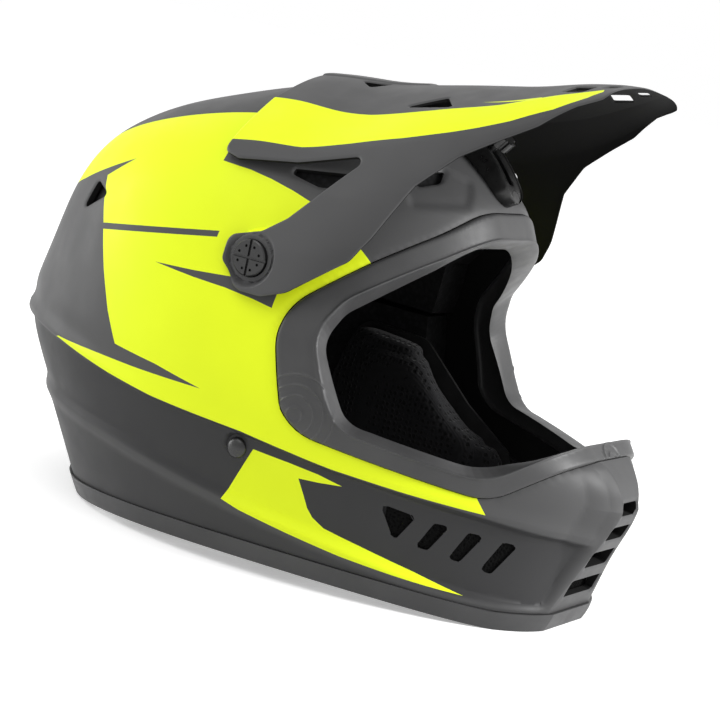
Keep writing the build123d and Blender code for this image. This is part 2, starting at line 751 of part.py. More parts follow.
def make_visor_insert():
    """The flanged insert that the pivot screw enters, from inside the shell."""
    bar = along_x(pivot_y, pivot_z, 0, pivot_stack()[0] - seat_gap, insert_radius)
    flange = along_x(pivot_y, pivot_z, 0, half_width * 2, insert_flange_radius)
    insert = bar + (flange & body_form(shell_wall + seat_gap))
    insert -= body_form(shell_wall + seat_gap + insert_flange_thick)
    return insert - pivot_bore(screw_shank_radius + running_gap)


def make_visor_washer():
    """The washer between the shell's seat and the visor arm."""
    shell_x, boss_x, seat_x = pivot_stack()
    washer = along_x(pivot_y, pivot_z, shell_x, shell_x + washer_thick, washer_radius)
    return washer - along_x(pivot_y, pivot_z, 0, boss_x, screw_shank_radius + running_gap)


def bracket_angles():
    """Rear and front limits of the bracket's slot, in degrees forward of straight up."""
    spare = math.degrees((thumbscrew_shank_radius + running_gap) / bracket_radius)
    return thumbscrew_deg - spare, thumbscrew_deg + visor_tilt_down_deg + spare


def make_slot_bracket():
    """The raised bracket on the forehead, slotted on an arc about the pivot."""
    rear_deg, front_deg = bracket_angles()
    end = math.degrees(bracket_end / bracket_radius)
    top = bracket_radius + bracket_thick
    block = pivot_sector(bracket_radius * bracket_root_share, top, rear_deg - end, front_deg + end, bracket_width)
    block -= body_form(-seat_gap)
    room = math.degrees(slide_nut_length / 2 / bracket_radius)
    spare = math.degrees(running_gap * 3 / bracket_radius)
    start = thumbscrew_deg - room - spare
    finish = thumbscrew_deg + visor_tilt_down_deg + room + spare
    nut_room = slide_nut_width + running_gap * 4
    block -= pivot_sector(bracket_radius * bracket_root_share, bracket_radius, start, finish, nut_room)
    over = top * bracket_over_share
    root = bracket_radius * bracket_root_share
    block -= pivot_sector(root, over, rear_deg, front_deg, bracket_slot_width)
    for place in bracket_screw_places():
        block -= place * Cylinder(bracket_screw_radius + seat_gap, cut_extra)
        sink = Cylinder(bracket_screw_head_radius + seat_gap, cut_extra, align=upright)
        block -= place * Pos(0, 0, bracket_thick - bracket_screw_head - seat_gap) * sink
    return block


def bracket_screw_places():
    rear_deg, front_deg = bracket_angles()
    inset = math.degrees(bracket_screw_inset / bracket_radius)
    return [
        radial_plane(rear_deg - inset, bracket_radius).location,
        radial_plane(front_deg + inset, bracket_radius).location,
    ]


def bracket_holes():
    """Clearance holes in the shell for the bracket screws."""
    holes = Part()
    for place in bracket_screw_places():
        holes += place * Cylinder(bracket_screw_radius + seat_gap, cut_extra)
    return holes


def make_bracket_screws():
    """Two small screws that hold the bracket to the shell."""
    screws = []
    for place in bracket_screw_places():
        head = Cylinder(bracket_screw_head_radius, bracket_screw_head, align=upright)
        shank = Cylinder(bracket_screw_radius, cut_extra, align=(Align.CENTER, Align.CENTER, Align.MAX))
        screw = place * Pos(0, 0, bracket_thick - bracket_screw_head) * (head + shank)
        screws.append(screw - body_form(shell_wall))
    return screws


def make_slide_nut():
    """The nut that slides under the bracket."""
    plane = radial_plane(thumbscrew_deg, bracket_radius - running_gap - slide_nut_thick)
    nut = Box(slide_nut_width, slide_nut_length, slide_nut_thick, align=upright)
    return plane * (nut - Cylinder(thumbscrew_shank_radius + running_gap, cut_extra))


def make_thumbscrew():
    """The knob that locks the visor's tilt, with finger notches round its head."""
    low = bracket_radius - running_gap - slide_nut_thick
    high = tab_radius + tab_thick + running_gap
    plane = radial_plane(thumbscrew_deg, low)
    shank = Cylinder(thumbscrew_shank_radius, high - low, align=upright)
    head = Pos(0, 0, high - low) * Cylinder(thumbscrew_head_radius, thumbscrew_head_thick, align=upright)
    for index in range(thumbscrew_notches):
        turn = Rot(0, 0, 360 / thumbscrew_notches * index)
        notch = Pos(thumbscrew_head_radius, 0, high - low) * Cylinder(
            notch_radius, thumbscrew_head_thick * 3
        )
        head -= turn * notch
    return plane * (shank + head)


def ribbon(points, thick, width, y):
    """Webbing that follows an XZ path, with its width along Y."""
    near = []
    far = []
    last = len(points) - 1
    for index, point in enumerate(points):
        before = unit(step_between(points[max(index - 1, 0)], points[max(index, 1)]))
        after = unit(step_between(points[min(index, last - 1)], points[min(index + 1, last)]))
        normal = unit((-before[1] - after[1], before[0] + after[0]))
        reach = thick / 2 / (normal[1] * before[0] - normal[0] * before[1])
        near.append((point[0] + normal[0] * reach, point[1] + normal[1] * reach))
        far.append((point[0] - normal[0] * reach, point[1] - normal[1] * reach))
    inside = [0]
    outside = [0]
    for before, point, after in zip(points, points[1:], points[2:]):
        first = step_between(before, point)
        second = step_between(point, after)
        left_turn = first[0] * second[1] - first[1] * second[0] > 0
        inside.append(strap_bend_radius + (-thick if left_turn else thick) / 2)
        outside.append(strap_bend_radius + (thick if left_turn else -thick) / 2)
    radii = inside + [0, 0] + outside[:0:-1] + [0]
    line = FilletPolyline(*(near + far[::-1]), radius=radii, close=True)
    face = Plane(origin=(0, y, 0), x_dir=(1, 0, 0), z_dir=(0, -1, 0)) * make_face(line)
    return extrude(face, amount=width / 2, both=True)


def step_between(start, end):
    return (end[0] - start[0], end[1] - start[1])


def strap_frame():
    """Places along the strap's path: the plate, the slot, the hanging line and the pad's face."""
    y, rivet_z = side_point((strap_y_share, strap_rivet_z_share))
    slot_z = strap_slot_z_share * shell_height
    wall_x = flank_x(body_form(shell_wall), y, rivet_z - anchor_height / 2)
    plate_x = wall_x - anchor_spare
    web_x = plate_x - anchor_thick - seat_gap - strap_thick / 2
    pad_x = cheek_face_share * half_width - cheek_plate_thick - seat_gap * 2 - cheek_pad_thick
    return y, rivet_z, slot_z, plate_x, web_x, pad_x - strap_hang_gap


def make_strap_rivet():
    """The domed rivet that holds the strap, at +X."""
    y, rivet_z, slot_z, plate_x, web_x, hang_x = strap_frame()
    band_x = rivet_seat_x()
    end_x = web_x - strap_thick / 2 - seat_gap - rivet_head_thick
    dome = Sphere(rivet_radius) & Box(rivet_radius * 2, rivet_radius * 2, rivet_radius * 2, align=(
        Align.MIN, Align.CENTER, Align.CENTER))
    dome = Pos(band_x + seat_gap, y, rivet_z) * scale(dome, by=(rivet_dome_share, 1, 1))
    shank = along_x(y, rivet_z, end_x, band_x + seat_gap * 2, rivet_shank_radius)
    head = along_x(y, rivet_z, end_x, end_x + rivet_head_thick, rivet_radius)
    return dome + shank + head


def make_anchor_plate():
    """The plate that spreads the strap's pull over the inside of the shell."""
    y, rivet_z, slot_z, plate_x, web_x, hang_x = strap_frame()
    plate = Pos(plate_x - anchor_thick / 2, y, rivet_z) * Box(anchor_thick, anchor_width, anchor_height)
    plate = plate & body_form(shell_wall + seat_gap)
    return plate - rivet_bore(rivet_shank_radius + seat_gap)


def anchor_pocket():
    """The room for plate, rivet and webbing between shell and cheek foam."""
    y, rivet_z, slot_z, plate_x, web_x, hang_x = strap_frame()
    inner_x = web_x - strap_thick / 2 - rivet_head_thick - running_gap * 3
    top = rivet_z + anchor_height / 2 + running_gap * 2
    bottom = slot_z - strap_bend_radius - strap_thick
    room = Box(half_width - inner_x, anchor_width + running_gap * 4, top - bottom)
    return Pos((half_width + inner_x) / 2, y, (top + bottom) / 2) * room


def strap_start():
    y, rivet_z, slot_z, plate_x, web_x, hang_x = strap_frame()
    top = rivet_z + anchor_height / 2 - seat_gap
    return [(web_x, top), (web_x, slot_z), (hang_x, slot_z)]


def make_strap_short():
    """The short strap at +X, sewn round the bars of the two rings."""
    y, rivet_z, slot_z, plate_x, web_x, hang_x = strap_frame()
    loop_half = ring_wire_radius * 2 + running_gap * 2 + strap_thick
    points = strap_start() + [(hang_x, ring_bar_z + ring_wire_radius)]
    strap = ribbon(points, strap_thick, strap_width, y)
    loop = SlotOverall(loop_half * 2, ring_wire_radius * 2 + running_gap * 2 + strap_thick * 2)
    face = Plane(origin=(hang_x, y, ring_bar_z), x_dir=(1, 0, 0), z_dir=(0, -1, 0)) * loop
    strap += extrude(face, amount=strap_width / 2, both=True)
    for side in (-1, 1):
        bar_x = hang_x + side * (ring_wire_radius + running_gap / 2)
        bore = Cylinder(ring_wire_radius + running_gap, strap_width * 2)
        strap -= Pos(bar_x, y, ring_bar_z) * Rot(90, 0, 0) * bore
    return strap - rivet_bore(rivet_shank_radius + seat_gap)


def make_strap_long():
    """The long strap, its tail folded up and snapped to itself, made at +X."""
    y, rivet_z, slot_z, plate_x, web_x, hang_x = strap_frame()
    fold_x = hang_x - strap_bend_radius * 2
    low = strap_floor_gap + strap_thick / 2
    points = strap_start() + [(hang_x, low), (fold_x, low), (fold_x, slot_z - strap_bend_radius * 2)]
    strap = ribbon(points, strap_thick, strap_width, y)
    strap -= along_x(y, strap_snap_z, fold_x - strap_thick, hang_x + strap_thick, snap_post_radius + seat_gap)
    return strap - rivet_bore(rivet_shank_radius + seat_gap)


def make_strap_snap():
    """The press snap that holds the folded tail, made at +X."""
    y, rivet_z, slot_z, plate_x, web_x, hang_x = strap_frame()
    fold_x = hang_x - strap_bend_radius * 2
    inner = fold_x - strap_thick / 2 - seat_gap
    outer = hang_x + strap_thick / 2 + seat_gap
    snap = along_x(y, strap_snap_z, inner - snap_cap_thick, outer + snap_cap_thick, snap_post_radius)
    snap += along_x(y, strap_snap_z, inner - snap_cap_thick, inner, snap_cap_radius)
    return snap + along_x(y, strap_snap_z, outer, outer + snap_cap_thick, snap_cap_radius)


def make_ring(side):
    """One D-shaped ring hanging from the short strap's loop."""
    y, rivet_z, slot_z, plate_x, web_x, hang_x = strap_frame()
    bar_x = hang_x + side * (ring_wire_radius + running_gap / 2)
    half = strap_width / 2 + ring_wire_radius + running_gap
    corner = ring_corner_share * half
    points = [(-half, 0), (half, 0), (half, -ring_inner_height), (-half, -ring_inner_height)]
    radii = [ring_wire_radius * ring_bend_share, ring_wire_radius * ring_bend_share, corner, corner]
    line = FilletPolyline(*points, radius=radii, close=True)
    frame = Plane(origin=(bar_x, y, ring_bar_z), x_dir=(0, 1, 0), z_dir=(1, 0, 0))
    path = frame * line
    start = Plane(origin=path @ 0, z_dir=path % 0)
    return sweep(start * Circle(ring_wire_radius), path=path)


def mirrored(solid):
    return mirror(solid, about=Plane.YZ)


def save(name, *solids):
    """Write one node."""
    shape = solids[0] if len(solids) == 1 else Compound(children=list(solids))
    export_step(shape, os.path.join("parts", name + ".step"))


def main():
    os.makedirs("parts", exist_ok=True)
    save("outer_shell", make_outer_shell())
    save("eye_port_trim", make_eye_port_trim())
    save("base_trim", make_base_trim())
    save("crown_foam", make_crown_foam())
    chin_foam = make_chin_foam()
    side_filter = make_side_filter()
    cheek_foam = make_cheek_foam() - anchor_pocket()
    cheek_plate = make_cheek_plate()
    cheek_pad = make_cheek_pad()
    pairs = {
        "chin_foam": chin_foam,
        "side_vent_filter": side_filter,
        "cheek_foam": cheek_foam,
        "cheek_plate": cheek_plate,
        "cheek_pad": cheek_pad,
        "visor_screw": make_visor_screw(),
        "visor_insert": make_visor_insert(),
        "visor_washer": make_visor_washer(),
        "strap_anchor": make_anchor_plate(),
    }
    for name, solid in pairs.items():
        save(name + "_left", solid)
        save(name + "_right", mirrored(solid))
    save("chin_vent_filter", make_chin_filter())
    save("cheek_snaps", *make_cheek_snaps())
    save("crown_pad", comfort_layer(crown_pad_shares))
    save("brow_pad", comfort_layer(brow_pad_shares))
    save("nape_pad", comfort_layer(nape_pad_shares))
    save("neck_roll", make_neck_roll())
    save("visor", make_visor())
    save("visor_slot_bracket", make_slot_bracket())
    save("bracket_screws", *make_bracket_screws())
    save("visor_slide_nut", make_slide_nut())
    save("visor_thumbscrew", make_thumbscrew())
    rivet = make_strap_rivet()
    save("strap_rivets", rivet, mirrored(rivet))
    save("chin_strap_left", make_strap_short())
    save("chin_strap_right", mirrored(make_strap_long()))
    save("strap_snap", mirrored(make_strap_snap()))
    save("ring_inner", make_ring(-1))
    save("ring_outer", make_ring(1))


if __name__ == "__main__":
    main()
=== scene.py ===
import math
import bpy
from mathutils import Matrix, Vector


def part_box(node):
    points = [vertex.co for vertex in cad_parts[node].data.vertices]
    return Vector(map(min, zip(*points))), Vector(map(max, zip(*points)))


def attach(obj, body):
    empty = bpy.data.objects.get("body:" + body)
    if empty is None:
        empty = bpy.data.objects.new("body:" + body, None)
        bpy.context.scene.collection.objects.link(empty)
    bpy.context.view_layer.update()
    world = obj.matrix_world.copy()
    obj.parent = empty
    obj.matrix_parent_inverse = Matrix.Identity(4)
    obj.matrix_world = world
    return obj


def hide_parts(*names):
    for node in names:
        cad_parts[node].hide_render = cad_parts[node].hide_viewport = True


bl_info = {
    "name": "Full Face Helmet",
    "version": (1, 0, 0),
    "blender": (4, 5, 0),
    "location": "View3D > Sidebar > Helmet",
    "description": "Builds the looks of a downhill full face helmet on its packed frame",
    "category": "Object",
}

import bpy
import numpy as np
from mathutils import Matrix, Vector

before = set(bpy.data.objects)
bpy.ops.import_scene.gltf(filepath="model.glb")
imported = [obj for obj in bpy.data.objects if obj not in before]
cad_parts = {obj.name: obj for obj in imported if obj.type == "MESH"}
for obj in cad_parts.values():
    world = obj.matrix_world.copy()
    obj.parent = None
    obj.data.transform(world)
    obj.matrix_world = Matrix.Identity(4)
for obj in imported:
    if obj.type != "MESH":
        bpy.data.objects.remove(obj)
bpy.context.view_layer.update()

# Sizes in millimetres, turned into metres where a mesh is written
MM = 0.001
HALF_LENGTH = 172.0
HALF_WIDTH = 120.0
HEIGHT = 238.0
PIVOT = (-5.16, 152.1)
RIVET = (-17.2, 60.93)
RIVET_HEAD = 3.2
# Round seats in the shell's flank: centre, radius of the hole, rings of edges, X of the flat face
SEATS = (
    (PIVOT, 9.7, (12.9, 14.6), 107.75),
    (RIVET, 2.2, (5.9, 7.4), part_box("strap_rivets")[1].x / MM - RIVET_HEAD),
)
SEAT_SLOPE = 1.6
# The shell's face never lies lower than this; its wall, and the least wall where it is sunk
DEEPEST, THICKNESS, THINNEST = -3.1, 3.8, 1.0
# Levels at which edges are added: inside a vent's rim, along the belts and inside the visor's edge
VENT_LEVELS, BELT_LEVELS = (1.8, 0.9, 0.35, 0.0), (-3.0, 0.0, 1.2, 2.4, 4.5)
VISOR_LEVELS = (2.5, 1.2, 0.4, 0.0)
HALF_ROUND = 430
TRIM_STEPS, VISOR_COUNTS, QUICK_COARSER = (1.5, 2.4), (170, 110), 1.5
# How far and how deep the edges of the vents, the eye port and the visor roll in
VENT_ROLL, PORT_ROLL, VISOR_ROLL = (1.8, 0.9), (1.6, 0.5), (1.2, 0.7)

# The body's rows from base to crown: front point, rear point, half width, nose half width and
# the place of the widest point
BODY_SHARES = (
    (-0.913, 0.000, 0.709, 0.000, 0.825, 0.200, 0.56),
    (-0.936, 0.063, 0.820, 0.151, 0.900, 0.170, 0.56),
    (-0.977, 0.189, 0.940, 0.303, 0.967, 0.085, 0.56),
    (-1.000, 0.307, 0.988, 0.400, 0.996, 0.105, 0.55),
    (-0.930, 0.387, 0.960, 0.496, 1.000, 0.165, 0.55),
    (-0.773, 0.504, 0.919, 0.597, 0.983, 0.165, 0.55),
    (-0.616, 0.618, 0.878, 0.689, 0.933, 0.150, 0.55),
    (-0.523, 0.727, 0.797, 0.786, 0.842, 0.133, 0.54),
    (-0.465, 0.819, 0.640, 0.870, 0.708, 0.117, 0.53),
    (-0.337, 0.899, 0.448, 0.929, 0.533, 0.083, 0.52),
    (-0.198, 0.954, 0.279, 0.971, 0.350, 0.058, 0.51),
    (-0.058, 0.983, 0.151, 0.992, 0.167, 0.025, 0.50),
    (0.010, 0.992, 0.084, 0.997, 0.060, 0.010, 0.50),
    (0.046, 0.9973, 0.048, 0.9975, 0.002, 0.0005, 0.50),
)
# Powers of the front and rear curves in plan, and the shares of u where they start
FRONT_POWER, REAR_POWER = 1.8, 2.12
NOSE_END, WIDEST = 0.05, 0.50

# Side-view lines as shares of half the length and of the height
UPPER_BELT = (
    (1.20, 0.380), (0.593, 0.357), (0.355, 0.328), (0.192, 0.311), (-0.110, 0.294),
    (-0.378, 0.265), (-0.570, 0.252), (-0.773, 0.234), (-0.903, 0.215), (-0.969, 0.204), (-1.20, 0.170),
)
LOWER_BELT = (
    (1.20, 0.222), (0.558, 0.210), (0.355, 0.193), (0.134, 0.168), (-0.105, 0.139),
    (-0.320, 0.113), (-0.541, 0.084), (-0.750, 0.055), (-0.884, 0.046), (-1.20, 0.036),
)
PORT_EDGE = (
    (-1.50, 0.828), (-0.478, 0.828), (-0.430, 0.765), (-0.302, 0.676), (-0.160, 0.568),
    (-0.150, 0.500), (-0.212, 0.360), (-0.262, 0.318), (-0.780, 0.264), (-0.975, 0.380),
    (-1.50, 0.560),
)
PORT_CORNERS = (0, 0.08, 0.30, 0.10, 0.16, 0.16, 0.05, 0.16, 0.12, 0, 0)
PORT_MOUTH = (
    (-1.50, 0.752), (-0.515, 0.752), (-0.455, 0.700), (-0.300, 0.590), (-0.270, 0.520),
    (-0.390, 0.350), (-0.450, 0.346), (-0.760, 0.312), (-0.935, 0.412), (-1.50, 0.600),
)
MOUTH_CORNERS = (0, 0, 0.05, 0.09, 0.12, 0.09, 0.05, 0.14, 0, 0)
SIDE_VENTS = (
    ((-0.517, 0.214), (-0.615, 0.202), (-0.567, 0.142)),
    ((-0.660, 0.196), (-0.700, 0.196), (-0.655, 0.138), (-0.622, 0.140)),
    ((-0.745, 0.190), (-0.782, 0.188), (-0.735, 0.126), (-0.706, 0.130)),
    ((-0.826, 0.182), (-0.860, 0.178), (-0.812, 0.112), (-0.785, 0.118)),
)
# Slots of the nose: height of the middle, height and half width
FRONT_VENTS = (
    (0.280, 0.024, 0.075), (0.228, 0.031, 0.090), (0.164, 0.039, 0.115), (0.094, 0.040, 0.150),
)
REAR_VENT = ((0.640, 0.630), (0.615, 0.700), (0.535, 0.680))
BROW_VENT = ((-0.300, 0.836), (-0.352, 0.858), (-0.327, 0.890))
SCOOP_VENT = ((-0.235, 0.845), (-0.235, 0.815), (-0.100, 0.800), (0.030, 0.822))
VENT_CORNER = 1.6
# The shell's lower edge: its front and rear foot as shares, and its height and arch
BASE_FEET, BASE_HEIGHT, BASE_ARCH = (-0.83, 0.60), 9.5, 6.5
# The shallow hollow round each forehead vent: X and Z of its corners and its depth
FOREHEAD_DISH, DISH_DEPTH = ((60, 203), (36, 214), (20, 206), (34, 193), (62, 189)), 1.5
# The crease that parts the nose's front from its sides: heights and their X
CREASE_HEIGHTS, CREASE = (11, 38, 55, 69, 80, 88), (26, 16, 12.5, 10, 14, 19)
CREASE_WIDTH, CREASE_SINK = 6.5, 1.3
# The nose: height of its edge, how far it is drawn out there, and Y where its front begins
NOSE_EDGE, NOSE_OUT, NOSE_REAR = 66, 7.4, -118

# The visor: place along Y, then half width and height from ridge to foot, as shares
VISOR_SHARES = (
    (0.215, ((0, 1.014), (0.483, 0.950), (0.772, 0.848), (0.890, 0.750), (0.970, 0.640), (1, 0.520))),
    (0.095, ((0, 1.024), (0.483, 0.957), (0.762, 0.859), (0.887, 0.764), (0.972, 0.647), (1, 0.520))),
    (-0.030, ((0, 1.030), (0.483, 0.955), (0.742, 0.868), (0.880, 0.780), (0.975, 0.655), (1, 0.520))),
    (-0.233, ((0, 1.055), (0.467, 0.983), (0.708, 0.905), (0.880, 0.800), (0.970, 0.680), (1, 0.520))),
    (-0.370, ((0, 1.074), (0.450, 1.012), (0.650, 0.940), (0.800, 0.835), (0.915, 0.720), (0.965, 0.540))),
    (-0.500, ((0, 1.092), (0.425, 1.040), (0.600, 0.975), (0.680, 0.905), (0.770, 0.800), (0.850, 0.600))),
    (-0.640, ((0, 1.118), (0.370, 1.082), (0.525, 1.030), (0.580, 0.965), (0.640, 0.860), (0.700, 0.700))),
    (-0.800, ((0, 1.140), (0.230, 1.132), (0.420, 1.104), (0.470, 1.050), (0.520, 0.950), (0.560, 0.800))),
)
# The visor's outline in the side view and in the plan, and the rounding of its corners, as shares
VISOR_EDGE = (
    (0.200, 1.25), (-0.900, 1.25), (-0.900, 1.118), (-0.793, 1.101), (-0.733, 1.078), (-0.663, 1.020),
    (-0.581, 0.979), (-0.488, 0.929), (-0.413, 0.857), (-0.366, 0.740), (-0.331, 0.685), (-0.169, 0.592),
    (-0.095, 0.571), (-0.012, 0.571), (0.055, 0.625), (0.055, 0.676), (-0.040, 0.698), (-0.105, 0.735),
    (-0.157, 0.782), (-0.238, 0.870), (-0.225, 0.886), (-0.047, 0.845), (0.134, 0.824), (0.190, 0.832),
)
VISOR_CORNERS = (
    0, 0, 0, 0, 0, 0.10, 0, 0.08, 0, 0, 0.05, 0.10,
    0.04, 0.05, 0.02, 0.03, 0.04, 0, 0.06, 0.015, 0.02, 0, 0.01, 0.02,
)
VISOR_PLAN = ((1.2, 0.36), (1.2, -0.45), (0.43, -0.80), (-0.43, -0.80), (-1.2, -0.45), (-1.2, 0.36))
PLAN_CORNERS = (0, 0, 0.13, 0.13, 0, 0)
VISOR_VENTS = (
    ((0.40, -0.20), (0.30, -0.30), (0.42, -0.36)),
    ((0.12, 0.05), (0.20, -0.01), (0.10, -0.05)),
    ((0.17, -0.645), (0.28, -0.635), (0.29, -0.695), (0.18, -0.705)),
    ((0.14, -0.735), (0.21, -0.730), (0.21, -0.765), (0.14, -0.770)),
)
VISOR_VENT_CORNER, VISOR_VENT_HEIGHT = 1.4, 0.93
VISOR_WALL, VISOR_BORE, RIDGE_RISE, FLANK_TURN = 2.8, 3.4, 0.8, 1.5
# The arm's round seat: radii of its edges, X of its face, height of its rim and X of its back
ARM_RINGS, ARM_FACE, ARM_RIM, ARM_BACK = (14.5, 12.8, 11.3, 9.4), 113.05, 1.3, 110.4
# Painted areas of the visor in the plan, in millimetres: X and Y of each corner
VISOR_STRIPE = (
    (58, 45), (58, -23), (55, -52), (50, -86), (45, -103), (39, -118), (33, -130), (38, -131.5),
    (46, -127.5), (56, -116), (63.5, -99), (70, -77), (77, -53), (82.5, -29), (87.5, -5), (91, 31),
    (92, 45),
)
# The low edge of the visor's flank, along which it turns in
VISOR_LOW = (
    (-0.800, 1.110), (-0.733, 1.078), (-0.663, 1.020), (-0.581, 0.979), (-0.488, 0.929), (-0.413, 0.857),
    (-0.366, 0.740), (-0.331, 0.685), (-0.169, 0.592), (-0.095, 0.560), (0.20, 0.50),
)
VISOR_SPIKE = ((44.5, -74), (43.5, -104), (47, -104))
VISOR_RIDGE = ((-15, 60), (15, 60), (11, -14), (7, -26), (-7, -26), (-11, -14))

# Painted areas in the side view, in millimetres: Y and Z of each corner
NEON_SIDE = (
    (200, 90), (101, 84.9), (61, 78), (33, 74), (-19, 70), (-65, 63), (-98, 60), (-133, 57),
    (-128, 66), (-100, 78), (-60, 92), (-52, 130), (-53, 160), (-47, 165), (-26, 180), (-16, 183),
    (-7, 186), (5, 189), (17, 191), (33, 192), (36, 240), (200, 240),
)
REAR_PANEL = (
    (99, 170), (87, 148), (78, 127), (69, 108), (60, 93), (33, 90), (5, 84.8), (45, 85), (72, 85.4),
    (102, 86), (130, 76), (200, 70), (200, 140), (160, 149), (121, 164), (84, 182),
)
TAPER_STRIPE = ((90, 147.6), (18, 160), (18, 157), (88, 144.8))
PIVOT_SPIKE = (
    (46, 138), (23, 139.2), (0, 141), (-20, 142), (-20, 131), (-10, 133), (5, 135), (22, 136),
)
PANEL_BLOCK = (
    (-26, 62), (-45, 60), (-59, 58), (-71, 55), (-60, 54), (-50, 53.6), (-53, 47), (-56, 40), (-59, 36),
    (-65, 32), (-81, 28), (-108, 21), (-130, 14.6), (-117, 16), (-100, 18), (-74, 21.5), (-49, 26),
    (-23, 31), (-13, 34),
)
# Half width of the grey field on the crown by its place along Y, and the height where it starts
CROWN_PLACES = (-60, 0, 45, 90, 120, 146, 175)
CROWN_WIDTHS = (36, 58, 65, 64, 54, 36, 0)
CROWN_START = 165

# Face of the eye port's trim: share of the way to its mouth and rise
TRIM_PROFILE = (
    (0, -1.5), (0.025, 0.1), (0.06, 0.45), (0.11, 0.62), (0.18, 0.68), (0.50, 0.70), (0.76, 0.70),
    (0.79, 0.76), (0.82, 1.0), (0.85, 1.0), (0.88, 0.6), (0.91, -1.2), (0.94, -4.0), (0.97, -7.5),
    (1.0, -11.0),
)
TRIM_WALL, TRIM_GAP = 2.2, 0.2
# Plain concentric rings on the trim: centre and reach
TRIM_RINGS = (((109.0, -44.0, 85.0), 20.5), ((0.0, -166.0, 88.5), 13.0))
RING_PITCH, RING_RISE, RING_HALF = 4.8, 0.6, 0.75

# Forehead bracket, along an arc round the pivots: spans in degrees, half widths in millimetres
BRACKET_ARC = 92.4
BRACKET_SPAN, BRACKET_HALF = (30.4, 58.6), 8.9
SLOT_SPAN, SLOT_HALF = (36.8, 52.2), 2.7
BRACKET_SCREWS, SCREW_SEAT, SCREW_DEPTH = (32.63, 56.35), 3.55, -1.5
BRACKET_FEET, BRACKET_WALL, SLOT_ROLL = (-7.4, -12.2), -2.4, (0.8, 0.7)
BRACKET_STEP = 0.8
BRACKET_LEVELS, SLOT_LEVELS = (1.8, 1.6, 1.3, 1.0, 0.7, 0.35, 0.15, 0), (0.8, 0.5, 0.25, 0)
# The bracket's face: distance from its edge and rise
BRACKET_FACE = ((0, -0.6), (0.15, -0.1), (0.35, 0.45), (0.7, 0.75), (1.0, 0.6), (1.3, 0))

# Straps: Y of both, X and Z of the path's corners, size of the webbing and of the sewn loop
STRAP_Y, SLOT_Z, WEB_X, HANG_X, STRAP_TOP = -17.2, 44.03, 104.48, 59.8, 68.3
WEB_THICK, WEB_WIDTH = 2.0, 22.0
LOOP_Z, LOOP_REACH, LOOP_FLAT, LOOP_FOOT = 27, 4.275, 0.62, 31.4
LONG_FOOT, FOLD_GAP, TAIL_DROP = 5.0, 6.0, 6.0
LOOP_SECTION = (
    (-11, 0), (-10.6, 0.8), (0, 1.0), (10.6, 0.8), (11, 0), (10.6, -0.8), (0, -1.0), (-10.6, -0.8),
)
STITCH = ((-1.1, 0.08), (-0.6, 0.3), (0.6, 0.3), (1.1, 0.08))

# Pads: spacing of their cloth, frames of its simulation and depth of the sewn channels
PAD_VOXEL, CLOTH_FRAMES, SEAM_DEPTH = 5.0, 20, 1.6

# Lamps with their places and sizes, and the camera fitted to the photograph
LAMPS = (
    ("key", (-0.9, 0.2, 1.6), 1.2), ("front", (0.55, -1.8, 0.8), 0.8), ("rear", (-0.5, 1.8, 0.5), 1.0),
)
LAMP_AIM = (0, 0, 0.12)
FLOOR_HALF = 9
CAMERA_LENS = 121.92
CAMERA_PLACE = (-1.12035983, -0.58283142, 0.29077743)
CAMERA_AXES = (
    (0.46947156, -0.85855168, 0.20612002),
    (0.03697401, 0.25235683, 0.96692758),
    (-0.8821731, -0.44632392, 0.15021845),
)


class ShellSettings(bpy.types.PropertyGroup):
    neon: bpy.props.FloatVectorProperty(
        name="Bright paint", description="Colour of the bright areas", subtype="COLOR", size=3,
        min=0, max=1, default=(0.80, 0.945, 0.012))
    grey: bpy.props.FloatVectorProperty(
        name="Grey paint", description="Colour of the grey areas", subtype="COLOR", size=3,
        min=0, max=1, default=(0.068, 0.068, 0.069))
    # The dark colour of the side bands and the skirt is partly a darker paint and partly painted shade,
    # where those surfaces face down.
    dark: bpy.props.FloatVectorProperty(
        name="Dark paint", description="Colour of the side bands", subtype="COLOR", size=3,
        min=0, max=1, default=(0.029, 0.029, 0.030))
    roughness: bpy.props.FloatProperty(
        name="Roughness", description="Roughness of the matte paint", default=0.5, min=0, max=1)
    band_depth: bpy.props.FloatProperty(
        name="Band depth", description="How deep the side band lies in millimetres",
        default=2.6, min=0, max=6)
    mesh_step: bpy.props.FloatProperty(
        name="Mesh step", description="Spacing of the shell's mesh in millimetres",
        default=2.6, min=1, max=8)


class TrimSettings(bpy.types.PropertyGroup):
    rubber: bpy.props.FloatVectorProperty(
        name="Rubber", description="Colour of the edge trims", subtype="COLOR", size=3,
        min=0, max=1, default=(0.043, 0.043, 0.044))
    bead: bpy.props.FloatProperty(
        name="Bead height", description="Height of the trim's outer bead in millimetres", default=1.7)


class PadSettings(bpy.types.PropertyGroup):
    fabric: bpy.props.FloatVectorProperty(
        name="Fabric", description="Colour of the pads", subtype="COLOR", size=3,
        min=0, max=1, default=(0.012, 0.012, 0.013))
    pressure: bpy.props.FloatProperty(
        name="Pressure", description="How hard the pads are filled", default=4.0, min=0, max=20)


class StageSettings(bpy.types.PropertyGroup):
    key_power: bpy.props.FloatProperty(
        name="Key light", description="Power of the large light above", default=8.4, unit="POWER")
    front_power: bpy.props.FloatProperty(
        name="Front light", description="Power of the light before the nose",
        default=42.0, unit="POWER")
    rear_power: bpy.props.FloatProperty(
        name="Rear light", description="Power of the light behind the helmet",
        default=16.0, unit="POWER")
    sky: bpy.props.FloatProperty(
        name="Ambient", description="Strength of the even light all round", default=0.66, min=0, max=2)


def settings(name):
    return getattr(bpy.context.scene, name)


# Curves in the side view

def in_mm(shares):
    return [(y * HALF_LENGTH, z * HEIGHT) for y, z in shares]


